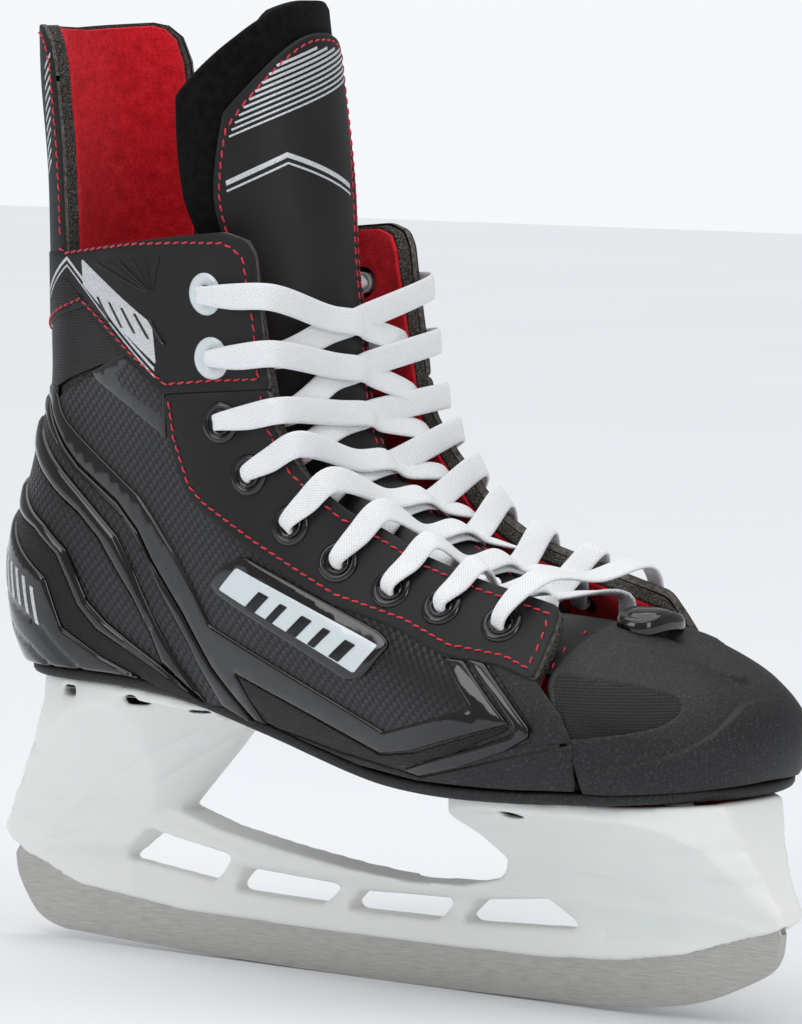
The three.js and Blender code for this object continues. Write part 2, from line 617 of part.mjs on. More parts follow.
// A closed skin between two grids of points, rows by columns, the first grid on the outside.
function blanket(outer, inner, rows, columns) {
  const count = outer.length;
  const index = [];
  const at = (row, column) => row * columns + column;
  const quad = (a, b, c, d) => index.push(a, b, c, a, c, d);
  for (let row = 0; row < rows - 1; row += 1) {
    for (let column = 0; column < columns - 1; column += 1) {
      const corners = [at(row, column), at(row + 1, column), at(row + 1, column + 1), at(row, column + 1)];
      quad(...corners);
      quad(...corners.map((i) => i + count).reverse());
    }
  }
  const rim = [];
  for (let column = 0; column < columns - 1; column += 1) rim.push(at(0, column));
  for (let row = 0; row < rows - 1; row += 1) rim.push(at(row, columns - 1));
  for (let column = columns - 1; column > 0; column -= 1) rim.push(at(rows - 1, column));
  for (let row = rows - 1; row > 0; row -= 1) rim.push(at(row, 0));
  rim.forEach((a, i) => {
    const b = rim[(i + 1) % rim.length];
    quad(a, b, b + count, a + count);
  });
  return geometryOf([...outer, ...inner].flatMap((p) => p.toArray()), index);
}

// A badge clipped to the rear edge of the toe cap, on its crown.
function makeLaceGuard() {
  const half = 11;
  const plan = new THREE.Shape();
  plan.moveTo(-6, -half);
  plan.quadraticCurveTo(5, -half - 1, 7, 0);
  plan.quadraticCurveTo(5, half + 1, -6, half);
  plan.closePath();
  const depth = 2.6;
  const geometry = new THREE.ExtrudeGeometry(plan, { depth, bevelEnabled: false, curveSegments: 5 });
  geometry.applyMatrix4(new THREE.Matrix4().makeRotationY(0.06));
  geometry.translate(97, 3.4, 116.3);
  add("lace_guard", geometry, GLOSS_BLACK);
}

// Tongue: felt pad under a synthetic facing; both are cut at the height where the top flexes.
// round is how far the upper edge drops at its two corners.
function tonguePiece(halfArc, from, to, round, outer, inner, rows) {
  const columns = 9;
  const layer = (depth) => Array.from({ length: rows * columns }, (_, i) => {
    const share = Math.floor(i / columns) / (rows - 1);
    const across = (2 * (i % columns)) / (columns - 1) - 1;
    const z = from + share ** 1.2 * (to - round * across ** 4 - from);
    return below(tongueSurface, -along(halfArc, z) * across, z, depth);
  });
  return blanket(layer(outer), layer(inner), rows, columns);
}

function makeTongue() {
  const split = 0.25;
  const { facing, feltOuter, feltInner, foot, facingTop, feltTop } = TONGUE;
  const low = FLEX_TONGUE_Z - split;
  const high = FLEX_TONGUE_Z + split;
  add("tongue_facing_lower", tonguePiece(FACING_HALF, foot, low, 0, 0, facing, 11), BLACK_SYNTHETIC);
  add("tongue_facing_upper", tonguePiece(FACING_HALF, high, facingTop, 14, 0, facing, 6), BLACK_SYNTHETIC);
  add("tongue_felt_lower", tonguePiece(FELT_HALF, foot, low, 0, feltOuter, feltInner, 11), BLACK_FELT);
  add("tongue_felt_upper", tonguePiece(FELT_HALF, high, feltTop, 20, feltOuter, feltInner, 6), BLACK_FELT);
}

// Eyelets: a barrel through the flap, with a domed flange outside.
function eyeletFrame(k, turn) {
  const [[w, z]] = turn([EYELETS[k]]);
  return { point: bootSurface(w, z), normal: normalAt(bootSurface, w, z) };
}

function makeEyelets() {
  const { bore, barrel, flange } = EYELET;
  const inside = -LINER.inner - FIT;
  const profile = [
    [bore, inside - 0.7], [barrel, inside - 0.7], [barrel, 0.7], [flange, 0.7], [4.3, 1.7],
    [bore, 1.4], [bore, inside - 0.7],
  ];
  for (const [side, turn] of SIDES) {
    EYELETS.forEach((_, k) => {
      const { point, normal } = eyeletFrame(k, turn);
      const look = k < 2 ? GLOSS_WHITE : GLOSS_BLACK;
      add(`eyelet_${side}_${k + 1}`, placed(lathe(profile, 9), point, normal), look);
    });
  }
}

// The lace: one run from inside the boot, up and down through every eyelet, and back inside.
const INSIDE = LINER.inner + 2.6;
const OVER = LACE_RADIUS + 1.4;
const UNDER = LINER.inner + LACE_RADIUS + 1;
const LACE_TAIL = [
  [-42, 27, 196], [-46, 27.5, 180], [-44, 28, 160], [-38, 29, 140], [-30, 30, 120], [-20, 29, 106],
  [-5, 28, 94], [12, 28, 85], [30, 28, 79], [50, 29, 77], [70, 30, 77], [88, 30, 78], [102, 27, 79],
  [112, 19, 79.5],
];

function eyeletPlace(k, turn, depth) {
  const { point, normal } = eyeletFrame(k, turn);
  return point.addScaledVector(normal, -depth);
}
// A place on a flap, at a share of the way from an eyelet to a point just past the flap's edge.
function flapPlace(k, turn, share, depth) {
  const [[w, z]] = turn([EYELETS[k].map((value, i) => value + share * (FLAP_EDGE[k][i] - value))]);
  return below(bootSurface, w, z, depth);
}
const edgePlace = (k, turn, depth) => flapPlace(k, turn, 1, depth);
// Where a strand lies on the tongue, at a share of its way across from one flap to the other.
function tonguePlace(k, turn, share, height) {
  const side = turn === outerSide ? -1 : 1;
  const reach = along(TONGUE_RADIUS, CROSSING_Z[k]) * 0.62;
  const fall = (EYELETS[k][1] - EYELETS[k + 1][1]) * 0.35;
  return below(tongueSurface, side * reach * (1 - 2 * share), CROSSING_Z[k] + fall * (0.5 - share), -height);
}

// From inside one top eyelet down to the outside of the bottom eyelet on the same side,
// changing sides at each strand.
function laceRun(start) {
  const points = [];
  const last = EYELETS.length - 1;
  let turn = start;
  for (let k = 0; k <= last; k += 1) {
    points.push(eyeletPlace(k, turn, INSIDE), eyeletPlace(k, turn, -3.6));
    if (k === last) break;
    const other = turn === outerSide ? innerSide : outerSide;
    const height = turn === outerSide ? 4.3 : 1.7;
    points.push(flapPlace(k, turn, 0.5, -OVER - 0.4), edgePlace(k, turn, -OVER));
    points.push(tonguePlace(k, turn, 0.25, height));
    points.push(tonguePlace(k, turn, 0.5, height), tonguePlace(k, turn, 0.75, 1.8));
    points.push(edgePlace(k + 1, other, UNDER));
    turn = other;
  }
  return points;
}

// A curve that is sampled at its own points, so that a tube keeps to them.
class LaceCurve extends THREE.CatmullRomCurve3 {
  getSpacedPoints(divisions) {
    return this.getPoints(divisions);
  }

  getTangentAt(u, target) {
    return this.getTangent(u, target);
  }
}

function disc(radius, sides) {
  const shape = new THREE.Shape();
  for (let i = 0; i < sides; i += 1) {
    const angle = (2 * Math.PI * i) / sides;
    const [x, y] = [radius * Math.cos(angle), radius * Math.sin(angle)];
    if (i) shape.lineTo(x, y);
    else shape.moveTo(x, y);
  }
  shape.closePath();
  return shape;
}

function makeLace() {
  const tail = (side) => LACE_TAIL.map(([x, y, z]) => new THREE.Vector3(x, side * y, z));
  const last = EYELETS.length - 1;
  const points = [
    ...tail(-1).reverse(), ...laceRun(outerSide), edgePlace(last, outerSide, -OVER - 0.8),
    new THREE.Vector3(...BAR_MIDDLE), edgePlace(last, innerSide, -OVER - 0.8),
    ...laceRun(innerSide).reverse(), ...tail(1),
  ];
  const curve = new LaceCurve(points, false, "centripetal");
  const options = { steps: points.length - 1, extrudePath: curve, bevelEnabled: false };
  add("lace", new THREE.ExtrudeGeometry(disc(LACE_RADIUS, 8), options), WHITE_LACE);
  for (const [name, side] of [["lateral", -1], ["medial", 1]]) {
    const end = tail(side).slice(-2);
    const direction = end[1].clone().sub(end[0]).normalize();
    const middle = end[1].clone().addScaledVector(direction, FIT + AGLET.length / 2);
    const barrel = new THREE.CylinderGeometry(AGLET.radius, AGLET.radius, AGLET.length, 10);
    add(`aglet_${name}`, placed(barrel, middle, direction), GLOSS_WHITE);
  }
}

// Holder: a tower under the heel and one under the ball of the foot, joined by a rail that
// grips the runner. Outlines are [x, z]; plans are [x, y]; flares are [y, z].
const polygon = (rows) => new THREE.Shape(rows.map(([a, b]) => new THREE.Vector2(a, b)));

// Extrusions of a side view along Y, of a plan along Z and of a front view along X.
function sideView(rows, halfWidth) {
  const geometry = new THREE.ExtrudeGeometry(polygon(rows), { depth: 2 * halfWidth, bevelEnabled: false });
  geometry.rotateX(Math.PI / 2);
  return geometry.translate(0, halfWidth, 0);
}
function planView(rows, low, high) {
  const geometry = new THREE.ExtrudeGeometry(polygon(rows), { depth: high - low, bevelEnabled: false });
  return geometry.translate(0, 0, low);
}
function frontView(rows, from, to) {
  const mirrored = [...rows, ...rows.map(([y, z]) => [-y, z]).reverse()];
  const geometry = new THREE.ExtrudeGeometry(polygon(mirrored), { depth: to - from, bevelEnabled: false });
  geometry.rotateX(Math.PI / 2).rotateZ(Math.PI / 2);
  return geometry.translate(from, 0, 0);
}
const meet = (...geometries) =>
  geometries.map(solidOf).reduce((body, other) => body.intersect(other));

const WEB_HALF = 3.3; // half width of the holder where its windows are
const PROW = {
  plan: [[-140, 0], [-140, 30], [-56, 30], [-34, 22], [-21, 15.5], [-11, 10.5], [-4, 6], [0, 2.6], [0.2, 0]],
  foot: -75.8, height: 45.7, lean: 0.96, wall: 5,
};
const TOWERS = [
  {
    side: [
      [-123, 85.7], [-85, 85.7], [-60, 83.7], [-42, 80.4], [-76, 45.4], [-61, 40], [-62, 27], [-118, 21],
      [-144, 27], [-149, 29.5], [-151, 33], [-145, 42], [-139, 51], [-131, 64], [-124, 78],
    ],
    flange: [
      [-123, 85.7], [-85, 85.7], [-60, 83.7], [-42, 80.4], [-33, 78], [-35, 74.6], [-60, 79.8],
      [-85, 81.8], [-122, 81.8],
    ],
    flare: [
      [RAIL_HALF, 10], [RAIL_HALF, 20], [WEB_HALF, 24], [WEB_HALF, 31], [8, 44], [14, 60], [20, 72],
      [26, 79], [27, 90],
    ],
    plan: [
      [-152, 0], [-151, 5], [-141, 8], [-132, 11.5], [-123, 15], [-110, 21.5], [-95, 25.5], [-60, 27],
      [-44, 22], [-36, 12], [-34, 0],
    ],
    hollow: {
      side: [[-118, 90], [-41, 90], [-64, 66], [-78, 52], [-87, 44], [-120, 44], [-128, 60], [-119, 78]],
      flare: [[3, 40], [5.5, 45], [11, 61], [17, 73], [22, 79], [23, 90]],
      plan: [[-118.5, 0], [-115, 9], [-107, 17.5], [-95, 21.5], [-60, 23], [-49, 18.5], [-43, 9], [-41, 0]],
    },
  },
  {
    side: [
      [37, 63.9], [45, 63.7], [62, 63.9], [80, 64.2], [97, 65.2], [118, 65.6], [137, 66.2], [139, 60],
      [142, 52], [147, 41], [151, 35], [151, 32], [147, 29.3], [115, 19.8], [92, 16], [50, 20],
      [52, 38], [56, 43], [50, 50], [38, 60.8],
    ],
    flare: [
      [RAIL_HALF, 10], [RAIL_HALF, 20], [WEB_HALF, 24], [WEB_HALF, 28], [9, 40], [17, 51], [25, 58],
      [33, 61.5], [33, 70],
    ],
    plan: [
      [36, 0], [38, 15], [45, 25], [62, 31], [97, 33], [114, 31], [127, 24], [136, 15.5], [143, 9],
      [151, 5.5], [152, 0],
    ],
    hollow: {
      side: [[48, 70], [130, 70], [132, 56], [134, 38], [66, 38], [64, 46], [56, 56]],
      flare: [[3, 34], [6.5, 41], [14, 52], [22, 59], [28, 62], [29, 70]],
      plan: [
        [41, 0], [43, 12], [48, 21], [62, 27.5], [97, 29], [112, 27.5], [124, 21], [131.5, 12], [135, 0],
      ],
    },
  },
];
const RAIL = [
  [-144, 26], [-118, 18], [-74, 13.8], [-30, 13.4], [18, 13.4], [60, 13.6], [92, 15.6], [115, 19.6],
  [147, 29.2], [120, 34], [56, 42], [49, 36], [36, 33], [15, 32], [-10, 34], [-36, 37.2], [-60, 41],
  [-76, 45.4], [-110, 38],
];
const RAIL_SECTION = [
  [RAIL_HALF, 10], [RAIL_HALF, 20], [WEB_HALF, 23], [WEB_HALF, 27], [6.4, 32], [6.4, 50],
];
const WINDOWS = [
  [[-101, 28], [-88.5, 38.4], [-54, 33], [-64.5, 24]],
  [[-57, 21.8], [-50.5, 29.8], [-13, 27.7], [-20.5, 21.2]],
  [[-12, 20.6], [-6, 26.6], [30.5, 28], [24.5, 20.8]],
  [[32, 21], [40, 28.4], [67, 31.6], [77.5, 23.2]],
];
const BOLTS = [[-112, 44, 37.5], [108, 38, 34.5]]; // x, height of the head's seat, height of the tip

function makeHolder() {
  const halves = (plan) => [
    ...plan, ...plan.filter(([, y]) => y > 0).map(([x, y]) => [x, -y]).reverse(),
  ];
  // The rear tower narrows to an upright edge at its front, which leans with the tower.
  const prow = (back) => {
    const geometry = planView(halves(PROW.plan).map(([x, y]) => [x + PROW.foot - back, y]), 0, 100);
    const lean = new THREE.Matrix4().makeShear(0, 0, 0, 0, PROW.lean, 0);
    return geometry.translate(0, 0, -PROW.height).applyMatrix4(lean).translate(0, 0, PROW.height);
  };
  const bodies = TOWERS.map(({ side, flare, plan, flange, hollow }) => {
    const [first, last] = [side[0][0] - 40, 160];
    const shift = along(CENTRE_LINE, first > 0 ? 97 : -98);
    const skin = [sideView(side, 40), frontView(flare, first, last)];
    const core = [sideView(hollow.side, 40), frontView(hollow.flare, first, last)];
    const footprintOf = (rows) => planView(halves(rows), 0, 100).translate(0, shift, 0);
    if (!flange) {
      return meet(...skin, footprintOf(plan)).subtract(meet(...core, footprintOf(hollow.plan)));
    }
    return meet(...skin, footprintOf(plan), prow(0))
      .add(meet(sideView(flange, 40), footprintOf(plan)))
      .subtract(meet(...core, footprintOf(hollow.plan), prow(PROW.wall)));
  });
  const rail = meet(sideView(RAIL, 40), frontView(RAIL_SECTION, -160, 160));
  const pocketFoot = (x) => rivetSeat(x) - RIVET.pocket;
  let body = bodies.reduce((sum, tower) => sum.add(tower), rail);
  const tools = [
    ...WINDOWS.map((rows) => sideView(rows, 40)),
    ...[-FIT, FIT].map((dx) => sideView(RUNNER_SLOT, RUNNER.thickness / 2 + FIT).translate(dx, 0, FIT)),
    ...BOLTS.map(([x, seat, tip]) => post(x, 0, tip - 2, seat + 2, BOLT.hole, 8)),
    ...rivetPlaces.map(([x, y]) => post(x, y, pocketFoot(x), 92, RIVET.hole, 8)),
    ...rivetPlaces.map(([x, y]) => post(x, y, pocketFoot(x), rivetSeat(x), RIVET.head + 0.6, 10)),
  ];
  body = tools.reduce((sum, tool) => sum.subtract(solidOf(tool)), body);
  add("holder", meshGeometry(body), WHITE_PLASTIC);
}

// Runner: its bottom is a long arc, flat for a short way in the middle, that turns up at both ends.
const rockerZ = (x) => (x * x) / (2 * RUNNER.rocker);
const RUNNER_BOTTOM = [-120, -90, -60, -30, -8, 8, 30, 60, 90].map((x) =>
  [x, Math.abs(x) < 10 ? 0 : rockerZ(x)]);
const RUNNER_REAR = [[-148, 25], [-147, 19], [-143, 12], [-138, 6.5], [-129, 3]];
const RUNNER_FRONT = [[104, 3], [118, 5.6], [131, 10.5], [144, 17.5], [147, 22], [148, 28.5]];
const RUNNER_TOP = [
  [146, 33], [118, 27], [116, 34], [100, 34], [98, 21.5], [18, 18.4], [-74, 18.8], [-104, 21.5],
  [-104, 37], [-120, 37], [-121, 24.5], [-144, 31],
];
const RUNNER_SLOT = [[-152, 22], ...[...RUNNER_TOP].reverse(), [152, 26], [115, 10], [-118, 10]];

function makeRunner() {
  const outline = [...RUNNER_REAR, ...RUNNER_BOTTOM, ...RUNNER_FRONT, ...RUNNER_TOP];
  add("runner", sideView(outline, RUNNER.thickness / 2), STEEL);
}

// The face of the flange that a rivet's head bears on.
function rivetSeat(x) {
  return soleZ(x) - 3;
}

function makeFasteners() {
  BOLTS.forEach(([x, seat, tip], i) => {
    const profile = [
      [0, tip - seat], [BOLT.shank, tip - seat], [BOLT.shank, 0], [BOLT.head, 0], [BOLT.head, 4], [0, 4],
    ];
    const place = new THREE.Vector3(x, 0, seat + FIT);
    const name = i ? "runner_bolt_front" : "runner_bolt_rear";
    add(name, placed(lathe(profile, 10), place, new THREE.Vector3(0, 0, 1)), DARK_STEEL);
  });
  rivetPlaces.forEach(([x, y], i) => {
    const under = rivetSeat(x);
    const length = boardZ(x) + SOLE.board + 0.2 - under;
    const profile = [
      [0, -1.2], [RIVET.head, -0.6], [RIVET.head, -FIT], [RIVET.shank, -FIT], [RIVET.shank, length],
      [0, length],
    ];
    const place = new THREE.Vector3(x, y, under);
    const tower = x < 0 ? "rear" : "front";
    const side = i % 2 ? "medial" : "lateral";
    const number = (Math.floor(i / 2) % 3) + 1;
    const rivet = placed(lathe(profile, 8), place, new THREE.Vector3(0, 0, 1));
    add(`rivet_${tower}_${side}_${number}`, rivet, DARK_STEEL);
  });
}

makeSole();
makeQuarters();
makeHeel();
makeCuffs();
makeEyestays();
makeLining();
makeTendonGuard();
makeToeCap();
makeVamp();
makeLaceGuard();
makeTongue();
makeEyelets();
makeLace();
makeHolder();
makeRunner();
makeFasteners();

export default skate;
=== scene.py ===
# The looks of an ice hockey skate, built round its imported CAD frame.
# Shapes are worked out in millimetres, as in the CAD source, and stored in metres.
import math

import bmesh
import bpy
import numpy as np
from mathutils import Matrix, Vector
from mathutils.geometry import delaunay_2d_cdt


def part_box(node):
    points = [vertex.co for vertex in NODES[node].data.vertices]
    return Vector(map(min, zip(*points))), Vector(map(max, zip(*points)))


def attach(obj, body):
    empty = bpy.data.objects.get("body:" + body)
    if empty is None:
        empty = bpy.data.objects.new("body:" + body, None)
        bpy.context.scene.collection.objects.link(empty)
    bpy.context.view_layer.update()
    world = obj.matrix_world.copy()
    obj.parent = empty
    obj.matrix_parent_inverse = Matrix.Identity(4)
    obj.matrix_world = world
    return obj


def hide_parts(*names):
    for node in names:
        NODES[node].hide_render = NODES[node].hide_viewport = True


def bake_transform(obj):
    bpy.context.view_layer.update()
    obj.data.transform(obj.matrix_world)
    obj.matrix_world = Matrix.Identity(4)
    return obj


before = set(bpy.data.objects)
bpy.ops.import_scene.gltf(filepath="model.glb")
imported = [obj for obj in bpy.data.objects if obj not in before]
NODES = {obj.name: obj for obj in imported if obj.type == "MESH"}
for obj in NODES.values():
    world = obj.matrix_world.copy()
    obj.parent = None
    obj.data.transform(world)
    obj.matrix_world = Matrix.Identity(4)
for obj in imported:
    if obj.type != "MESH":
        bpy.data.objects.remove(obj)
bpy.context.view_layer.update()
MM = 0.001

# ------------------------------------------------------------------ camera
AZIMUTH, ELEVATION = math.radians(39), math.radians(5.246)
CAMERA_DISTANCE = 1.85
CAMERA_AIM = Vector((0.00713, 0, 0.14167))
LENS = 218.07


def make_camera():
    back = Vector((
        math.sin(AZIMUTH) * math.cos(ELEVATION),
        -math.cos(AZIMUTH) * math.cos(ELEVATION),
        math.sin(ELEVATION),
    ))
    data = bpy.data.cameras.new("camera")
    data.lens = LENS
    data.sensor_width = 36
    data.clip_start, data.clip_end = 0.05, 50
    camera = bpy.data.objects.new("camera", data)
    bpy.context.scene.collection.objects.link(camera)
    camera.location = CAMERA_AIM + back * CAMERA_DISTANCE
    camera.rotation_mode = "QUATERNION"
    camera.rotation_quaternion = (-back).to_track_quat("-Z", "Y")
    bpy.context.scene.camera = camera


make_camera()

# ------------------------------------------------------------------ the boot's lines plan, as in the CAD
SKIN = 1.9
LINER_INNER = 6.5
HEEL, TOE = -98, 97
HEEL_RADIUS, TOE_RADIUS = 38, 45
HEEL_BACK = HEEL - HEEL_RADIUS * math.pi / 2
HEEL_CORNER = HEEL - HEEL_RADIUS * math.pi / 4
TOE_CORNER = TOE + TOE_RADIUS * math.pi / 4
TOE_TIP = TOE + TOE_RADIUS * math.pi / 2
OUTSOLE = 3.4

SOLE_LINE = [
    (HEEL_BACK, 86), (HEEL, 86), (-60, 84), (-22, 76), (20, 66), (45, 64),
    (80, 64.5), (TOE, 65.5), (TOE_TIP, 68),
]
CROWN_LINE = [
    (HEEL_BACK, 300), (-55, 300), (-20, 235), (20, 165), (60, 140), (TOE, 131), (TOE_TIP, 101),
]
CAP_CROWN_LINE = [(60, 118), (80, 117), (TOE, 115.5), (TOE_CORNER, 112), (TOE_TIP, 110)]
CENTRE_LINE = [(HEEL, 0), (-20, 0), (60, 2), (TOE_TIP, 7)]
BOOT_SECTIONS = [
    (HEEL_BACK, [
        (86, 33), (100, 37.5), (115, 39.5), (128, 38.5), (145, 34), (160, 28.5),
        (175, 24), (190, 22.5), (215, 21.5), (240, 22), (270, 24.5), (300, 26),
    ]),
    (HEEL_CORNER, [
        (86, 30.5), (100, 36), (115, 37.7), (128, 37), (145, 32.8), (160, 29.5),
        (175, 26), (190, 25.5), (215, 25.3), (240, 25.8), (270, 28.5), (300, 29),
    ]),
    (HEEL, [(86, 28.5), (100, 33), (115, 35), (130, 35), (150, 33), (175, 31), (200, 32), (240, 33),
            (300, 34)]),
    (-60, [(84, 29), (100, 34), (120, 37), (150, 38), (180, 40), (200, 40.5), (225, 40), (300, 38)]),
    (-20, [(76, 31), (90, 37), (110, 41.5), (130, 42.5), (150, 40.5), (170, 38.5), (200, 39.5), (235, 38)]),
    (20, [(66, 34), (80, 41), (95, 44.5), (108, 44.5), (120, 41.5), (130, 37.5), (141, 31), (152, 22),
          (165, 6)]),
    (60, [
        (64, 41), (75, 46.5), (88, 49), (98, 47.5), (106, 44), (114, 38.5), (120, 34),
        (127, 28.5), (134, 20), (140, 6),
    ]),
    (TOE, [
        (65.5, 42), (74, 46.5), (84, 47.5), (92, 46), (100, 42), (107, 36), (114, 29.5),
        (120, 24), (126, 15), (131, 4),
    ]),
]
CAP_SECTIONS = [
    (60, [(64, 41), (75, 46.5), (86, 48.5), (94, 46.5), (101, 42), (107, 34), (113, 22), (116, 12), (118,
                                                                                                     2)]),
    (80, [(64.5, 43), (75, 47.5), (86, 49), (94, 46.5), (101, 41), (107, 33), (112, 23), (115, 12), (117,
                                                                                                     2)]),
    (TOE, [(65.5, 42), (74, 46.5), (84, 47.5), (92, 45), (100, 38.5), (106, 29.5), (111, 19), (114, 9),
           (115.5, 2)]),
    (TOE_CORNER, [(66.5, 40), (74, 44), (83, 45.5), (90, 43), (98, 36), (104, 27), (109, 16), (111, 8),
                  (112, 2)]),
    (TOE_TIP, [(68, 39), (76, 43), (84, 43.5), (91, 41), (98, 34), (103, 24), (107, 13), (109, 6), (110,
                                                                                                    2)]),
]
TONGUE_CROWN = [
    (117, 60), (118.5, 57), (129.5, 39), (139, 20), (147.5, 8), (154, -1), (168, -9), (182, -12),
    (197, -14), (215, -17), (240, -20), (265, -24), (290, -28),
]
FELT_HALF = [(117, 20), (124, 27), (140, 34), (170, 38), (210, 42), (240, 52), (290, 46)]
FACING_HALF = [(117, 18), (124, 24), (140, 30), (170, 32), (210, 34), (240, 39), (284, 26)]
TONGUE_RADIUS = [(117, 40), (139, 34), (160, 28), (210, 27), (240, 32), (290, 35)]
TONGUE_FOOT, FACING_TOP = 117.4, 284

EYELETS = [(-35, 207), (-33, 188), (-29, 169), (-18, 154), (-2, 140), (15, 130), (33, 123), (51, 119),
           (71, 115)]
WHITE_EYELETS, EYELET_HOLE = 2, 3.6
FLAP_EDGE = [
    (-13, 206.5), (-11, 190), (-7.5, 173.5), (-2, 163.5), (8, 153), (22, 144), (39, 135.5), (57, 130),
    (76, 126),
]
CROSSING_Z = [197, 183, 169, 154.5, 144, 135, 127, 119.5]
BAR_MIDDLE = (77, 2.5, 126.5)


# ------------------------------------------------------------------ curves and surfaces
def curve(knots, values, t):
    """A smooth curve through values at knots, held level past its ends. values is (knots, points)."""
    knots = np.asarray(knots, float)
    values = np.asarray(values, float)
    t = np.atleast_1d(np.asarray(t, float))
    if values.ndim == 1:
        values = np.repeat(values[:, None], t.size, axis=1)
    last = len(knots) - 1
    i = np.clip(np.searchsorted(knots, t, side="right") - 1, 0, last - 1)
    span = knots[i + 1] - knots[i]
    u = np.clip((t - knots[i]) / span, 0, 1)
    column = np.arange(t.size)

    def slope(j):
        a, b = np.maximum(j - 1, 0), np.minimum(j + 1, last)
        return (values[b, column] - values[a, column]) / (knots[b] - knots[a])

    blend = u * u * (3 - 2 * u)
    leave = u * (1 - u) ** 2 * slope(i) * span
    arrive = u * u * (u - 1) * slope(i + 1) * span
    return (1 - blend) * values[i, column] + blend * values[i + 1, column] + leave + arrive


def along(rows, t):
    """The smooth curve through rows of (place, value), at t."""
    knots, values = zip(*rows)
    return curve(knots, values, t)


def half_breadth(s, z, sections, crown):
    """The boot's half width at (s, z), between its sections."""
    low, high = along(SOLE_LINE, s), along(crown, s)
    share = (z - low) / (high - low)
    stations, values = [], []
    for station, section in sections:
        foot = along(SOLE_LINE, station)[0]
        top = along(crown, station)[0]
        stations.append(station)
        values.append(along(section, foot + share * (top - foot)))
    stations = [2 * stations[0] - stations[1], *stations, 2 * stations[-1] - stations[-2]]
    values = [values[1], *values, values[-2]]
    return curve(stations, np.array(values), s)


def surface_points(w, z, sections, crown):
    """Points of the boot's outer surface. w runs round from the back of the heel, outer side positive."""
    w, z = (np.atleast_1d(np.asarray(v, float)) for v in (w, z))
    s = HEEL_BACK + np.abs(w)
    side = np.where(w < 0, 1.0, -1.0)
    r = half_breadth(s, z, sections, crown)
    centre = along(CENTRE_LINE, s)
    angle = np.where(s < HEEL, (HEEL - s) / HEEL_RADIUS, np.where(s > TOE, (s - TOE) / TOE_RADIUS, 0))
    base = np.clip(s, HEEL, TOE)
    sign = np.where(s < HEEL, -1.0, 1.0)
    x = base + sign * r * np.sin(angle)
    y = centre + side * r * np.cos(angle)
    return np.stack([x, y, z], axis=1)


def boot(w, z):
    """Points of the boot's outer surface."""
    return surface_points(w, z, BOOT_SECTIONS, CROWN_LINE)


def cap(w, z):
    """Points of the toe cap's outer surface."""
    return surface_points(w, z, CAP_SECTIONS, CAP_CROWN_LINE)


def tongue(arc, z):
    """Points of the tongue: arc is the distance round from its crown, z the height of the crown there."""
    arc, z = (np.atleast_1d(np.asarray(v, float)) for v in (arc, z))
    step = 0.5
    x = along(TONGUE_CROWN, z)
    rise = np.stack([along(TONGUE_CROWN, z + step) - along(TONGUE_CROWN, z - step),
                     np.full(z.size, 2 * step)], 1)
    rise /= np.linalg.norm(rise, axis=1)[:, None]
    radius = along(TONGUE_RADIUS, z)
    angle = arc / radius
    drop = radius * (1 - np.cos(angle))
    return np.stack([x - drop * rise[:, 1], radius * np.sin(angle), z + drop * rise[:, 0]], axis=1)


def unit(v):
    return v / np.maximum(np.linalg.norm(v, axis=-1, keepdims=True), 1e-12)


def normals(surface, w, z):
    step = 0.4
    across = surface(w + step, z) - surface(w - step, z)
    up = surface(w, z + step) - surface(w, z - step)
    return unit(np.cross(across, up))


def below(surface, w, z, depth):
    """Points at a depth under a surface."""
    w, z = (np.atleast_1d(np.asarray(v, float)) for v in (w, z))
    return surface(w, z) - normals(surface, w, z) * np.reshape(depth, (-1, 1))


# ------------------------------------------------------------------ outlines
def outer(rows):
    """Rows of (s, z) as an outline on the boot's outer side."""
    return [(s - HEEL_BACK, z) for s, z in rows]


def inner(rows):
    """Rows of (s, z) as an outline on the boot's inner side, running the same way round."""
    return [(HEEL_BACK - s, z) for s, z in reversed(rows)]


SIDES = (("lateral", outer), ("medial", inner))


def round_heel(upper, lower):
    """A band that wraps round the heel, between two lines that run from the back of the heel forward."""
    return [
        *outer(upper), *reversed(outer(lower)),
        *[p for p in reversed(inner(lower)) if p[0] < -1e-6],
        *[p for p in inner(upper) if p[0] < -1e-6],
    ]


def dense(rows, step, closed=True):
    """A line's points with more put between them, no further apart than step."""
    points = np.array(rows, float)
    ends = np.roll(points, -1, axis=0) if closed else points[1:]
    made = []
    for a, b in zip(points, ends):
        count = max(1, math.ceil(np.linalg.norm(b - a) / step))
        made += [a + (b - a) * k / count for k in range(count)]
    if not closed:
        made.append(points[-1])
    return np.array(made)


def rounded(rows, radius, closed=True):
    """An outline with its corners turned into arcs of about a radius."""
    points = np.array(rows, float)
    made = []
    for i, p in enumerate(points):
        if not closed and i in (0, len(points) - 1):
            made.append(p)
            continue
        a, b = points[i - 1], points[(i + 1) % len(points)]
        la, lb = np.linalg.norm(a - p), np.linalg.norm(b - p)
        cut = min(radius, 0.45 * la, 0.45 * lb)
        start, end = p + (a - p) / la * cut, p + (b - p) / lb * cut
        for t in (0, 0.25, 0.5, 0.75, 1):
            made.append((1 - t) ** 2 * start + 2 * t * (1 - t) * p + t * t * end)
    return np.array(made)


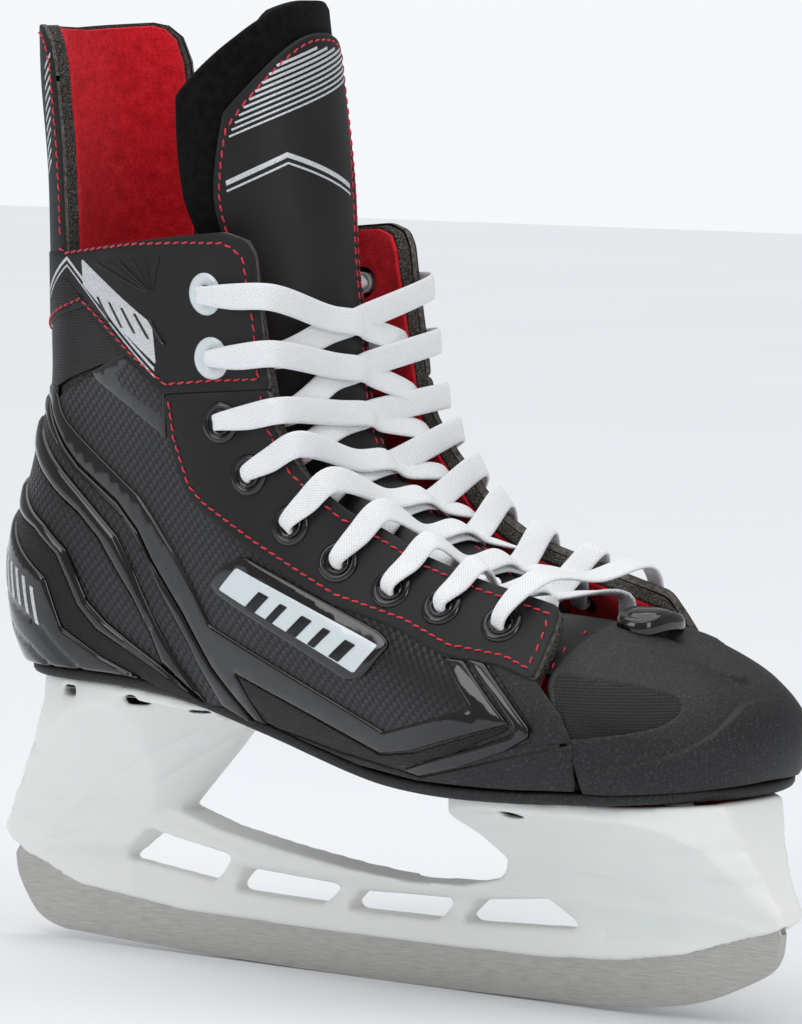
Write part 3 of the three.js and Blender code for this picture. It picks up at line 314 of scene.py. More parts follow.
def inside(points, ring):
    """Whether each point lies inside a closed outline."""
    x, y = points[:, 0][:, None], points[:, 1][:, None]
    a, b = ring, np.roll(ring, -1, axis=0)
    crosses = (a[:, 1] > y) != (b[:, 1] > y)
    rise = np.where(np.abs(b[:, 1] - a[:, 1]) < 1e-12, 1e-12, b[:, 1] - a[:, 1])
    at = a[:, 0] + (y - a[:, 1]) / rise * (b[:, 0] - a[:, 0])
    return (crosses & (x < at)).sum(axis=1) % 2 == 1


def distance_to(points, line, closed=True):
    """Each point's distance from a line of points."""
    a = line if closed else line[:-1]
    b = np.roll(line, -1, axis=0) if closed else line[1:]
    best = np.full(len(points), 1e9)
    d = b - a
    length = np.maximum((d * d).sum(1), 1e-12)
    for start in range(0, len(points), 2000):
        p = points[start:start + 2000, None, :]
        t = np.clip(((p - a) * d).sum(2) / length, 0, 1)
        gap = np.linalg.norm(p - (a + t[..., None] * d), axis=2)
        best[start:start + 2000] = gap.min(axis=1)
    return best


def offset_ring(ring, inset):
    """Points inside an outline at a distance from it, without those that would lie nearer."""
    d = unit(np.roll(ring, -1, axis=0) - np.roll(ring, 1, axis=0))
    area = (ring[:, 0] * np.roll(ring[:, 1], -1) - np.roll(ring[:, 0], -1) * ring[:, 1]).sum()
    normal = np.stack([-d[:, 1], d[:, 0]], 1) * (1 if area > 0 else -1)
    moved = ring + normal * inset
    keep = inside(moved, ring)
    moved = moved[keep]
    if len(moved):
        moved = moved[distance_to(moved, ring) > 0.93 * inset]
    return moved


# ------------------------------------------------------------------ meshes
def new_mesh(name, points, faces, material, uvs=None, material_index=None, sharp=40):
    """A piece from points in millimetres; uvs are one pair for each point, in millimetres."""
    mesh = bpy.data.meshes.new(name)
    mesh.from_pydata([tuple(p) for p in np.asarray(points, float) * MM], [],
                     [tuple(map(int, f)) for f in faces])
    materials = material if isinstance(material, (list, tuple)) else [material]
    for m in materials:
        mesh.materials.append(m)
    if uvs is not None:
        layer = mesh.uv_layers.new(name="plan")
        corners = np.zeros(len(mesh.loops), np.int32)
        mesh.loops.foreach_get("vertex_index", corners)
        layer.data.foreach_set("uv", (np.asarray(uvs, float) * MM)[corners].astype(np.float32).ravel())
    if material_index is not None:
        mesh.polygons.foreach_set("material_index", np.asarray(material_index, np.int32))
    mesh.polygons.foreach_set("use_smooth", np.ones(len(mesh.polygons), bool))
    mesh.validate()
    mesh.set_sharp_from_angle(angle=math.radians(sharp))
    piece = bpy.data.objects.new(name, mesh)
    bpy.context.scene.collection.objects.link(piece)
    return piece


def finish_piece(piece, body, stands_for=()):
    """Tells the frame what a piece rides on and the CAD nodes it stands for."""
    if body:
        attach(piece, body)
    if stands_for:
        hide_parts(*stands_for)
    return piece


EDGE_RINGS = (0.12, 0.4, 1.0)


def skin_points(loops, roll, step, edge_step):
    """A skin's points: its outline and holes, rings beside them, and a staggered grid between."""
    ring, *rings = loops
    low, high = ring.min(0), ring.max(0)
    nx, nz = (max(2, int(round(v / step))) for v in (high - low))
    gx, gz = np.meshgrid(np.linspace(low[0], high[0], nx + 1), np.linspace(low[1], high[1], nz + 1))
    gx = gx + np.where(np.arange(nz + 1)[:, None] % 2, 0.5 * (high[0] - low[0]) / nx, 0)
    grid = np.stack([gx.ravel(), gz.ravel()], 1)
    widest = roll * 1.3 + 0.5 * edge_step

    def clear(points, reach):
        points = points[inside(points, ring)]
        for loop in loops:
            points = points[distance_to(points, loop) > reach]
        for loop in rings:
            points = points[~inside(points, loop)]
        return points

    extra = [clear(grid, widest)]
    for share in EDGE_RINGS:
        near = offset_ring(ring, roll * share)
        extra.append(near)
        for loop in rings:
            extra.append(ring_round(loop, roll * share))
    return np.concatenate([*loops, *[e for e in extra if len(e)]])


def filled(points, loops):
    """The triangles between points that lie inside the first loop and outside the others."""
    ring, *rings = loops
    edges, first = [], 0
    for loop in loops:
        count = len(loop)
        edges += [(first + k, first + (k + 1) % count) for k in range(count)]
        first += count
    made = delaunay_2d_cdt([Vector(p) for p in points], edges, [], 0, 1e-5)
    flat = np.array([tuple(p) for p in made[0]])
    triangles = np.array(made[2])
    middle = flat[triangles].mean(axis=1)
    keep = inside(middle, ring)
    for loop in rings:
        keep &= ~inside(middle, loop)
    triangles = triangles[keep]
    a, b, c = (flat[triangles[:, k]] for k in range(3))
    area = (b[:, 0] - a[:, 0]) * (c[:, 1] - a[:, 1]) - (b[:, 1] - a[:, 1]) * (c[:, 0] - a[:, 0])
    triangles[area < 0] = triangles[area < 0][:, ::-1]
    return flat, triangles


def shell(name, surface, outline, top, bottom, material, roll=0.6, step=3.0, holes=(), relief=None,
          edge_material=None, foot_roll=0.0, edge_step=1.2):
    """A closed skin over part of a surface, between two depths, with its upper edge rolled over."""
    loops = [dense(outline, edge_step), *[dense(hole, edge_step) for hole in holes]]
    flat, triangles = filled(skin_points(loops, roll, step, edge_step), loops)
    reach = np.min([distance_to(flat, loop) for loop in loops], axis=0)
    u = 1 - np.clip(reach / max(roll, 1e-6), 0, 1)
    depth = top + roll * rolled(u)
    if relief is not None:
        depth = depth + relief(flat)
    base = surface(flat[:, 0], flat[:, 1])
    normal = normals(surface, flat[:, 0], flat[:, 1])
    count = len(flat)
    under = np.full(count, float(bottom))
    if foot_roll:
        under = bottom - foot_roll * rolled(u)
    position = np.concatenate([base - normal * depth[:, None], base - normal * under[:, None]])
    directed = set()
    for t in triangles:
        directed.update(((t[0], t[1]), (t[1], t[2]), (t[2], t[0])))
    walls = [(j, i, i + count, j + count) for i, j in directed if (j, i) not in directed]
    faces = [*triangles, *(triangles[:, ::-1] + count), *walls]
    index = [0] * (2 * len(triangles)) + [1 if edge_material else 0] * len(walls)
    s_plan = np.abs(flat[:, 0]) + HEEL_BACK
    plan = np.stack([s_plan, flat[:, 1]], 1)
    materials = [material, edge_material] if edge_material else material
    return new_mesh(name, position, faces, materials, np.concatenate([plan, plan]), index)


def rolled(u):
    """The fall of a rounded edge, from 0 inside it to 1 at its rim."""
    return 1 - np.sqrt(np.clip(1 - u * u, 0, 1))


def closed_off(faces, count):
    """An upper side's faces with its under side, count points further on, and the walls between."""
    directed = {(f[k], f[(k + 1) % len(f)]) for f in faces for k in range(len(f))}
    walls = [(j, i, i + count, j + count) for i, j in directed if (j, i) not in directed]
    return faces + [tuple(i + count for i in reversed(f)) for f in faces] + walls


def net(rows, columns):
    """The quads between neighbouring points of a grid."""
    faces = []
    for row in range(rows - 1):
        for column in range(columns - 1):
            a = row * columns + column
            faces.append((a, a + columns, a + columns + 1, a + 1))
    return faces


def rings_joined(rings, sides, first=0):
    """The quads between neighbouring rings of points."""
    faces = []
    for i in range(rings - 1):
        for k in range(sides):
            a, b = first + i * sides + k, first + i * sides + (k + 1) % sides
            faces.append((a, b, b + sides, a + sides))
    return faces


def ring_round(loop, gap):
    """The points round a hole, at a distance outside it."""
    centre = loop.mean(axis=0)
    return centre + (loop - centre) * (1 + gap / np.linalg.norm(loop - centre, axis=1))[:, None]


def true_circle(surface, w, z, radius, sides=24):
    """A circle of a true radius round (w, z) on a surface, as points of its plan."""
    step = 0.4
    across = (surface(w + step, z) - surface(w - step, z))[0] / (2 * step)
    up = (surface(w, z + step) - surface(w, z - step))[0] / (2 * step)
    e, f, g = across @ across, across @ up, up @ up
    first = across / math.sqrt(e)
    second = np.cross(normals(surface, np.array([w]), np.array([z]))[0], first)
    made = []
    for k in range(sides):
        angle = 2 * math.pi * k / sides
        reach = radius * (math.cos(angle) * first + math.sin(angle) * second)
        a, b = reach @ across, reach @ up
        made.append((w + (a * g - b * f) / (e * g - f * f), z + (b * e - a * f) / (e * g - f * f)))
    return np.array(made)


# ------------------------------------------------------------------ materials
class Look:
    """A material's nodes, with short ways to add what most of them need."""

    def __init__(self, name, colour, roughness, metallic=0.0, **sockets):
        self.material = bpy.data.materials.new(name)
        self.material.use_nodes = True
        self.tree = self.material.node_tree
        self.shader = self.tree.nodes["Principled BSDF"]
        self.shader.inputs["Base Color"].default_value = (*colour, 1)
        self.shader.inputs["Roughness"].default_value = roughness
        self.shader.inputs["Metallic"].default_value = metallic
        for socket, value in sockets.items():
            self.shader.inputs[socket.replace("_", " ")].default_value = value
        self.material.diffuse_color = (*colour, 1)

    def node(self, kind, inputs=None, **settings):
        made = self.tree.nodes.new(kind)
        for key, value in settings.items():
            setattr(made, key, value)
        for key, value in (inputs or {}).items():
            self.feed(made.inputs[key], value)
        return made

    def feed(self, socket, value):
        if isinstance(value, bpy.types.NodeSocket):
            self.tree.links.new(value, socket)
        else:
            socket.default_value = value

    def math(self, operation, a, b=0.0):
        return self.node("ShaderNodeMath", {0: a, 1: b}, operation=operation).outputs[0]

    def plan(self):
        """The piece's flat layout: distance along the boot and height, in metres."""
        made = self.node("ShaderNodeUVMap", uv_map="plan").outputs[0]
        parts = self.node("ShaderNodeSeparateXYZ", {0: made})
        return parts.outputs[0], parts.outputs[1]

    def place(self):
        return self.node("ShaderNodeTexCoord").outputs["Object"]

    def noise(self, scale, detail=2.0, vector=None, roughness=0.5):
        inputs = {"Vector": vector or self.place(), "Scale": scale, "Detail": detail, "Roughness": roughness}
        return self.node("ShaderNodeTexNoise", inputs).outputs[0]

    def ramp(self, value, stops):
        made = self.node("ShaderNodeValToRGB", {0: value})
        elements = made.color_ramp.elements
        while len(elements) < len(stops):
            elements.new(0.5)
        for element, (position, colour) in zip(elements, stops):
            element.position = position
            element.color = (*colour, 1)
        return made.outputs[0]

    def spread(self, value, low, high):
        return self.node("ShaderNodeMapRange", {0: value, 3: low, 4: high}).outputs[0]

    def bump(self, height, distance, strength=1.0):
        """Adds a relief of a height in metres; several calls stack."""
        link = self.shader.inputs["Normal"].links
        inputs = {"Height": height, "Distance": distance, "Strength": strength}
        if link:
            inputs["Normal"] = link[0].from_socket
        self.feed(self.shader.inputs["Normal"], self.node("ShaderNodeBump", inputs).outputs[0])

    def colour(self, socket):
        self.feed(self.shader.inputs["Base Color"], socket)

    def rough(self, socket):
        self.feed(self.shader.inputs["Roughness"], socket)


def synthetic_look():
    """Smooth coated synthetic leather: matte, with a fine pore grain and faint scuffs."""
    look = Look("matte_synthetic", (0.012, 0.012, 0.0125), 0.5, Specular_IOR_Level=0.28)
    look.colour(look.ramp(look.noise(35, 3),
                          [(0.3, (0.0105, 0.0105, 0.011)), (0.75, (0.0155, 0.0155, 0.016))]))
    look.rough(look.spread(look.noise(60, 4), 0.43, 0.58))
    look.bump(look.noise(2600, 2), 0.00005, 0.35)
    look.bump(look.noise(90, 2), 0.0004, 0.12)
    return look.material


def carbon_look():
    """A moulded twill: staggered cells, each rounded across and rising from under the one below."""
    look = Look("twill_weave", (0.01, 0.01, 0.011), 0.4, Specular_IOR_Level=0.4)
    wide, tall, lean = 0.003, 0.0017, 0.25
    x, y = look.plan()
    v = look.math("MULTIPLY", look.math("ADD", y, look.math("MULTIPLY", x, lean)), 1 / tall)
    half_cell = look.math("MULTIPLY", look.math("FLOORED_MODULO", look.math("FLOOR", v), 2.0), 0.5)
    u = look.math("ADD", look.math("MULTIPLY", x, 1 / wide), half_cell)
    across = look.math("SINE", look.math("MULTIPLY", look.math("FRACT", u), math.pi))
    rise = look.math("ADD", look.math("MULTIPLY", look.math("FRACT", v), 0.7), 0.3)
    over = look.math("MULTIPLY", across, rise)
    look.bump(over, 0.0005, 0.75)
    look.bump(look.noise(1800, 2), 0.00004, 0.3)
    # Painted shade low in each cell and painted highlight on its crown: the colour follows the cell's rise.
    look.colour(look.ramp(over, [(0.1, (0.006, 0.006, 0.0065)), (0.55, (0.011, 0.011, 0.012)),
                                 (0.95, (0.02, 0.0205, 0.022))]))
    look.rough(look.spread(over, 0.5, 0.3))
    return look.material


def gloss_look():
    look = Look("gloss_black", (0.004, 0.004, 0.0045), 0.1, Coat_Weight=0.3, Coat_Roughness=0.04)
    look.rough(look.spread(look.noise(25, 3), 0.07, 0.15))
    look.bump(look.noise(140, 1), 0.0001, 0.12)
    return look.material


def satin_look():
    look = Look("satin_black", (0.009, 0.009, 0.0095), 0.34, Specular_IOR_Level=0.35)
    look.rough(look.spread(look.noise(40, 3), 0.28, 0.42))
    look.bump(look.noise(1500, 2), 0.00004, 0.4)
    return look.material


def grained_look():
    """Spark-eroded mould grain, with bright specks painted into its colour as highlights on the grain."""
    look = Look("grained_black", (0.014, 0.014, 0.0145), 0.55, Specular_IOR_Level=0.3)
    grain = look.noise(1300, 2.5, roughness=0.6)
    look.bump(grain, 0.00022, 0.6)
    # Painted highlight: the ramp's brightest stop makes bright specks that stand in for glints on the grain.
    look.colour(look.ramp(look.noise(1500, 2),
                          [(0.35, (0.011, 0.0113, 0.0118)), (0.62, (0.024, 0.0245, 0.0255)),
                           (0.78, (0.075, 0.076, 0.078))]))
    look.rough(look.spread(look.noise(50, 3), 0.5, 0.62))
    return look.material


def dotted_look():
    """Rows of tiny moulded dots, staggered."""
    look = Look("dotted_black", (0.01, 0.01, 0.0105), 0.42, Specular_IOR_Level=0.3)
    pitch = 0.00115
    x, y = look.plan()
    turn = 2 * math.pi / pitch
    a = look.math("SINE", look.math("MULTIPLY", look.math("ADD", x, y), turn * 0.7))
    b = look.math("SINE", look.math("MULTIPLY", look.math("SUBTRACT", x, y), turn * 0.7))
    dots = look.math("MAXIMUM", look.math("MULTIPLY", a, b), 0.0)
    look.bump(dots, 0.0003, 0.9)
    # Painted shade between the dots and painted highlight on their tops: the colour follows the dots'
    # height.
    look.colour(look.ramp(dots, [(0.2, (0.006, 0.006, 0.0065)), (0.8, (0.019, 0.019, 0.02))]))
    return look.material


def felt_look():
    look = Look("brushed_felt", (0.004, 0.004, 0.004), 1.0, Specular_IOR_Level=0.1, Sheen_Weight=0.03,
                Sheen_Roughness=0.6)
    fibre = look.noise(1600, 4, roughness=0.7)
    look.colour(look.ramp(look.noise(420, 4),
                          [(0.3, (0.0015, 0.0015, 0.0015)), (0.75, (0.008, 0.008, 0.0083))]))
    look.bump(fibre, 0.0006, 0.7)
    return look.material


def red_look():
    """Brushed lining: short fibres, with soft light and dark patches of tone. Its red is raised past the
    cloth's own to stand in for the front light it lacks inside the boot, and the lightest patches are
    painted sheen.
    """
    look = Look("red_lining", (0.5, 0.002, 0.01), 1.0, Sheen_Weight=0.3, Sheen_Roughness=0.5,
                Sheen_Tint=(1.0, 0.3, 0.3, 1))
    tone_and_painted_sheen = look.math("ADD", look.math("MULTIPLY", look.noise(300, 3), 0.6),
                        look.math("MULTIPLY", look.noise(1300, 3), 0.5))
    # Painted light: the upper stops are brighter than the cloth, to stand in for front light and for sheen
    # on the nap.
    look.colour(look.ramp(tone_and_painted_sheen, [(0.35, (0.52, 0.002, 0.008)), (0.55, (0.8, 0.006, 0.02)),
                                    (0.75, (0.95, 0.022, 0.045))]))
    look.bump(look.noise(1200, 4, roughness=0.7), 0.0006, 0.7)
    return look.material


def foam_look():
    """Open foam at a cut edge: dark grey with lighter specks."""
    look = Look("speckled_foam", (0.06, 0.055, 0.05), 1.0, Specular_IOR_Level=0.2)
    specks = look.noise(1900, 3, roughness=0.7)
    look.colour(look.ramp(specks, [(0.35, (0.014, 0.013, 0.012)), (0.5, (0.045, 0.042, 0.038)),
                                   (0.68, (0.2, 0.185, 0.165))]))
    look.bump(specks, 0.0004, 0.8)
    return look.material


def thread_look():
    look = Look("red_thread", (0.45, 0.004, 0.02), 0.6, Sheen_Weight=0.2)
    look.colour(look.ramp(look.noise(900, 2), [(0.3, (0.5, 0.004, 0.016)), (0.7, (0.85, 0.02, 0.05))]))
    look.bump(look.noise(3500, 2), 0.0001, 0.6)
    return look.material


def print_look():
    look = Look("silver_print", (0.62, 0.63, 0.65), 0.42, 0.25)
    look.colour(look.ramp(look.noise(1500, 2), [(0.3, (0.52, 0.53, 0.55)), (0.7, (0.74, 0.75, 0.77))]))
    look.bump(look.noise(2200, 2), 0.00003, 0.4)
    return look.material


def white_gloss_look():
    look = Look("gloss_white", (0.72, 0.77, 0.79), 0.22, Coat_Weight=0.3, Subsurface_Weight=0.15)
    look.shader.inputs["Subsurface Scale"].default_value = 0.002
    look.rough(look.spread(look.noise(80, 2), 0.16, 0.28))
    return look.material


def edge_look():
    """The raw cut edge of coated synthetic leather."""
    look = Look("cut_edge", (0.09, 0.08, 0.07), 0.9)
    look.colour(look.ramp(look.noise(700, 3), [(0.3, (0.035, 0.03, 0.027)), (0.7, (0.17, 0.155, 0.14))]))
    look.bump(look.noise(2000, 2), 0.0002, 0.6)
    return look.material


def lace_look():
    """A flat tubular weave: fine diagonal yarns on both halves, read from the lace's own layout."""
    look = Look("white_weave", (0.86, 0.88, 0.91), 0.85, Sheen_Weight=0.15)
    x, y = look.plan()
    turn = 2 * math.pi / 0.00105
    a = look.math("SINE", look.math("MULTIPLY", look.math("ADD", x, y), turn))
    b = look.math("SINE", look.math("MULTIPLY", look.math("SUBTRACT", x, y), turn))
    yarns = look.math("MAXIMUM", a, b)
    look.bump(yarns, 0.00018, 0.55)
    look.bump(look.noise(2500, 2), 0.0001, 0.35)
    # Painted shade between the yarns and painted highlight on their crowns: the colour follows the yarns'
    # height.
    look.colour(look.ramp(yarns, [(0.1, (0.84, 0.86, 0.89)), (0.6, (0.93, 0.94, 0.955)), (1.0, (0.96,
                                                                                                0.965,
                                                                                                0.975))]))
    return look.material


def holder_look():
    look = Look("holder_plastic", (0.79, 0.8, 0.765), 0.38, Subsurface_Weight=0.12)
    look.shader.inputs["Subsurface Scale"].default_value = 0.004
    look.colour(look.ramp(look.noise(18, 3), [(0.3, (0.84, 0.85, 0.82)), (0.7, (0.88, 0.89, 0.865))]))
    look.rough(look.spread(look.noise(45, 3), 0.32, 0.46))
    look.bump(look.noise(1200, 2), 0.00005, 0.25)
    return look.material


def steel_look():
    """Ground steel: fine scratches along the runner, crossed by faint upright ones."""
    look = Look("ground_steel", (0.42, 0.405, 0.39), 0.34, 1.0)
    place = look.place()
    stretched = look.node("ShaderNodeMapping", {"Vector": place, "Scale": (0.06, 1, 1)}).outputs[0]
    upright = look.node("ShaderNodeMapping", {"Vector": place, "Scale": (1, 1, 0.12)}).outputs[0]
    lines = look.noise(2600, 3, stretched)
    cross = look.noise(900, 3, upright)
    both = look.math("ADD", look.math("MULTIPLY", lines, 0.88), look.math("MULTIPLY", cross, 0.12))
    look.colour(look.ramp(both, [(0.3, (0.4, 0.385, 0.365)), (0.7, (0.56, 0.545, 0.52))]))
    look.rough(look.spread(both, 0.26, 0.46))
    look.bump(both, 0.00008, 0.5)
    return look.material


def bare_steel_look():
    look = Look("plated_steel", (0.2, 0.2, 0.21), 0.35, 1.0)
    look.rough(look.spread(look.noise(300, 3), 0.28, 0.45))
    look.bump(look.noise(900, 2), 0.00005, 0.3)
    return look.material


def board_look():
    look = Look("fibre_board", (0.05, 0.045, 0.04), 0.85)
    look.colour(look.ramp(look.noise(600, 4), [(0.3, (0.03, 0.027, 0.024)), (0.7, (0.08, 0.072, 0.062))]))
    look.bump(look.noise(1500, 3), 0.0002, 0.5)
    return look.material


SYNTHETIC = synthetic_look()
CARBON = carbon_look()
GLOSS = gloss_look()
SATIN = satin_look()
GRAINED = grained_look()
DOTTED = dotted_look()
FELT = felt_look()
RED = red_look()
FOAM = foam_look()
THREAD = thread_look()
SILVER = print_look()
WHITE_GLOSS = white_gloss_look()
EDGE = edge_look()
LACE_WEAVE = lace_look()
HOLDER = holder_look()
STEEL = steel_look()
PLATED = bare_steel_look()
BOARD = board_look()


# ------------------------------------------------------------------ strips, rings and stitches
def smooth_route(rows, step):
    """A centripetal Catmull-Rom curve through rows whose first three numbers are a place."""
    rows = np.array(rows, float)
    rows = np.concatenate([[2 * rows[0] - rows[1]], rows, [2 * rows[-1] - rows[-2]]])
    made = []
    for i in range(1, len(rows) - 2):
        p = rows[i - 1:i + 3]
        gaps = np.sqrt(np.maximum(np.linalg.norm(np.diff(p[:, :3], axis=0), axis=1), 1e-6))
        t = np.concatenate([[0], np.cumsum(gaps)])
        count = max(2, math.ceil(gaps[1] ** 2 / step))
        for k in range(count):
            at = t[1] + (t[2] - t[1]) * k / count
            a = [((t[j + 1] - at) * p[j] + (at - t[j]) * p[j + 1]) / (t[j + 1] - t[j]) for j in range(3)]
            b = [((t[j + 2] - at) * a[j] + (at - t[j]) * a[j + 1]) / (t[j + 2] - t[j]) for j in range(2)]
            made.append(((t[2] - at) * b[0] + (at - t[1]) * b[1]) / (t[2] - t[1]))
    made.append(rows[-2])
    return np.array(made)


def tube(name, route, sections, material, across=None):
    """A closed tube along a route; sections holds each ring's points as [sideways, outwards] pairs.
    across gives the sideways direction at each point of the route."""
    tangent = unit(np.gradient(route, axis=0))
    sideways = unit(across - (across * tangent).sum(1)[:, None] * tangent)
    outwards = np.cross(sideways, tangent)
    rings, sides = sections.shape[:2]
    points = route[:, None] + sections[..., :1] * sideways[:, None] + sections[..., 1:] * outwards[:, None]
    faces = []
    for i in range(rings - 1):
        for k in range(sides):
            a, b = i * sides + k, i * sides + (k + 1) % sides
            faces.append((a, a + sides, b + sides, b))
    faces.append(tuple(range(sides)))
    faces.append(tuple(reversed(range((rings - 1) * sides, rings * sides))))
    run = np.concatenate([[0], np.cumsum(np.linalg.norm(np.diff(route, axis=0), axis=1))])
    plan = np.stack([np.repeat(run, sides), sections[..., 0].ravel()], 1)
    return new_mesh(name, points.reshape(-1, 3), faces, material, plan, sharp=60)


def lathe(name, profile, point, axis, material, segments=40):
    """A closed profile of (radius, height) pairs turned round an axis."""
    first = unit(np.cross(axis, [0.31, 0.2, 0.93]))
    second = np.cross(axis, first)
    count = len(profile)
    points, faces = [], []
    for k in range(segments):
        angle = 2 * math.pi * k / segments
        reach = math.cos(angle) * first + math.sin(angle) * second
        points += [point + r * reach + h * axis for r, h in profile]
        after = (k + 1) % segments
        for j in range(count):
            n = (j + 1) % count
            faces.append((k * count + j, k * count + n, after * count + n, after * count + j))
    return new_mesh(name, points, faces, material, sharp=35)


def spaced(line, pitch):
    """Points and directions along a line of points, one pitch apart."""
    line = np.array(line, float)
    gaps = np.linalg.norm(np.diff(line, axis=0), axis=1)
    run = np.concatenate([[0], np.cumsum(gaps)])
    count = max(2, int(run[-1] / pitch))
    places = (np.arange(count) + 0.5) * run[-1] / count
    at = np.stack([np.interp(places, run, line[:, k]) for k in range(line.shape[1])], 1)
    ahead = np.stack([np.interp(places + 0.2, run, line[:, k]) for k in range(line.shape[1])], 1)
    behind = np.stack([np.interp(places - 0.2, run, line[:, k]) for k in range(line.shape[1])], 1)
    return at, ahead - behind


STITCH_PITCH, STITCH_LENGTH, STITCH_RADIUS = 3.3, 2.55, 0.3


def stitches(name, surface, lines, body="boot", height=0.12, material=None,
             pitch=STITCH_PITCH, length=STITCH_LENGTH, radius=STITCH_RADIUS, slant=0.16):
    """Rows of thread, each stitch a small bead that dips into the surface at both ends."""
    stations = [(-0.5, 0.25, -0.4), (-0.4, 0.8, -0.1), (-0.18, 1.0, 0.05), (0.18, 1.0, 0.05),
                (0.4, 0.8, -0.1), (0.5, 0.25, -0.4)]
    sides = 6
    points, faces = [], []
    for line in lines:
        at, ahead = spaced(line, pitch)
        place = surface(at[:, 0], at[:, 1])
        normal = normals(surface, at[:, 0], at[:, 1])
        heading = unit(surface(at[:, 0] + ahead[:, 0], at[:, 1] + ahead[:, 1]) - place)
        side = np.cross(normal, heading)
        heading = unit(heading + slant * side)
        side = np.cross(normal, heading)
        for p, n, h, s in zip(place, normal, heading, side):
            first = len(points)
            for share, size, lift in stations:
                centre = p + h * share * length + n * (height + lift)
                for k in range(sides):
                    angle = 2 * math.pi * k / sides
                    points.append(centre + radius * size * (math.cos(angle) * s + math.sin(angle) * n))
            faces += rings_joined(len(stations), sides, first)
            faces.append(tuple(first + k for k in reversed(range(sides))))
            last = first + (len(stations) - 1) * sides
            faces.append(tuple(last + k for k in range(sides)))
    piece = new_mesh(name, points, faces, material or THREAD, sharp=70)
    return finish_piece(piece, body)


# ------------------------------------------------------------------ lace
LACE_WIDTH, LACE_THICKNESS = 8.0, 1.5
LACE_INSIDE = LINER_INNER + 2.6
LACE_OVER = 2.4
LACE_UNDER = LINER_INNER + 2
LACE_TAIL = [
    (-42, 27, 196), (-46, 27.5, 180), (-44, 28, 160), (-38, 29, 140), (-30, 30, 120), (-20, 29, 106),
    (-5, 28, 94), (12, 28, 85), (30, 28, 79), (50, 29, 77), (70, 30, 77), (88, 30, 78), (102, 27, 79),
    (112, 19, 79.5),
]
OUTER, INNER = 1, -1


def on_surface(surface, w, z, height):
    """A place at a height over a surface, and the surface's outward direction there."""
    w, z = np.array([w], float), np.array([z], float)
    normal = normals(surface, w, z)[0]
    return surface(w, z)[0] + normal * height, normal


def eyelet_place(k, side, depth):
    """A place at an eyelet, at a depth under the boot's skin."""
    s, z = EYELETS[k]
    return on_surface(boot, side * (s - HEEL_BACK), z, -depth)


def flap_place(k, side, share, depth):
    """A place between an eyelet and the edge of its flap, at a depth under the skin."""
    (s0, z0), (s1, z1) = EYELETS[k], FLAP_EDGE[k]
    return on_surface(boot, side * (s0 + share * (s1 - s0) - HEEL_BACK), z0 + share * (z1 - z0), -depth)


def tongue_place(k, side, share, height):
    """A place over the tongue where the lace crosses from eyelet k to the next."""
    reach = -side * along(TONGUE_RADIUS, CROSSING_Z[k])[0] * 0.62
    fall = (EYELETS[k][1] - EYELETS[k + 1][1]) * 0.35
    return on_surface(tongue, reach * (1 - 2 * share), CROSSING_Z[k] + fall * (0.5 - share), height)


def lace_run(side):
    """From inside a top eyelet down to the outside of the bottom one; each stop is place, normal, width."""
    stops = []
    last = len(EYELETS) - 1
    for k in range(last + 1):
        stops.append((*eyelet_place(k, side, LACE_INSIDE), 0.62))
        stops.append((*eyelet_place(k, side, -3.4), 0.6))
        if k == last:
            break
        height = 4.3 if side == OUTER else 1.7
        stops.append((*flap_place(k, side, 0.5, -LACE_OVER - 0.2), 0.95))
        stops.append((*flap_place(k, side, 1, -LACE_OVER), 1.0))
        stops.append((*tongue_place(k, side, 0.25, height), 1.0))
        stops.append((*tongue_place(k, side, 0.5, height), 1.0))
        stops.append((*tongue_place(k, side, 0.75, 1.8), 1.0))
        stops.append((*flap_place(k + 1, -side, 1, LACE_UNDER), 1.0))
        side = -side
    return stops


def lace_stops():
    """The whole lace: a tail, a run down, the bar over the toe end, a run back up and the other tail."""
    last = len(EYELETS) - 1

    def tail(side):
        return [(np.array([x, side * y, z], float), np.array([0, -side, 0.05], float), 1.0)
                for x, y, z in LACE_TAIL]

    bar = (np.array(BAR_MIDDLE, float), unit(np.array([0.25, 0, 0.97])), 1.0)
    return [
        *reversed(tail(-1)), *lace_run(OUTER), (*flap_place(last, OUTER, 1, -LACE_OVER - 0.8), 1.0), bar,
        (*flap_place(last, INNER, 1, -LACE_OVER - 0.8), 1.0), *reversed(lace_run(INNER)), *tail(1),
    ]


def lace_sections(width, sides=16):
    """The lace's section at each point: flat, and gathered and cupped where an eyelet narrows it."""
    angle = 2 * math.pi * np.arange(sides) / sides
    flat = np.sign(np.cos(angle)) * np.abs(np.cos(angle)) ** 0.75
    thick = np.sign(np.sin(angle)) * np.abs(np.sin(angle)) ** 0.6
    half_width = 0.5 * LACE_WIDTH * width[:, None]
    half_thick = 0.5 * LACE_THICKNESS * (1 + 0.7 * (1 - width[:, None]))
    cupped = 0.45 * (1 - width[:, None]) * (flat ** 2) * half_width
    return np.stack([half_width * flat, half_thick * thick + cupped], axis=2)

def make_lace():
    stops = lace_stops()
    place = np.array([stop[0] for stop in stops])
    normal = np.array([stop[1] for stop in stops])
    heading = np.gradient(place, axis=0)
    across = unit(np.cross(normal, heading))
    for i in range(1, len(across)):
        if across[i] @ across[i - 1] < 0:
            across[i] = -across[i]
    width = np.array([[stop[2]] for stop in stops])
    rows = smooth_route(np.concatenate([place, across, width], axis=1), 1.4)
    route, across, width = rows[:, :3], rows[:, 3:6], np.clip(rows[:, 6], 0.55, 1.0)
    piece = tube("lace_woven", route, lace_sections(width), LACE_WEAVE, across)
    finish_piece(piece, "boot", ["lace"])


make_lace()


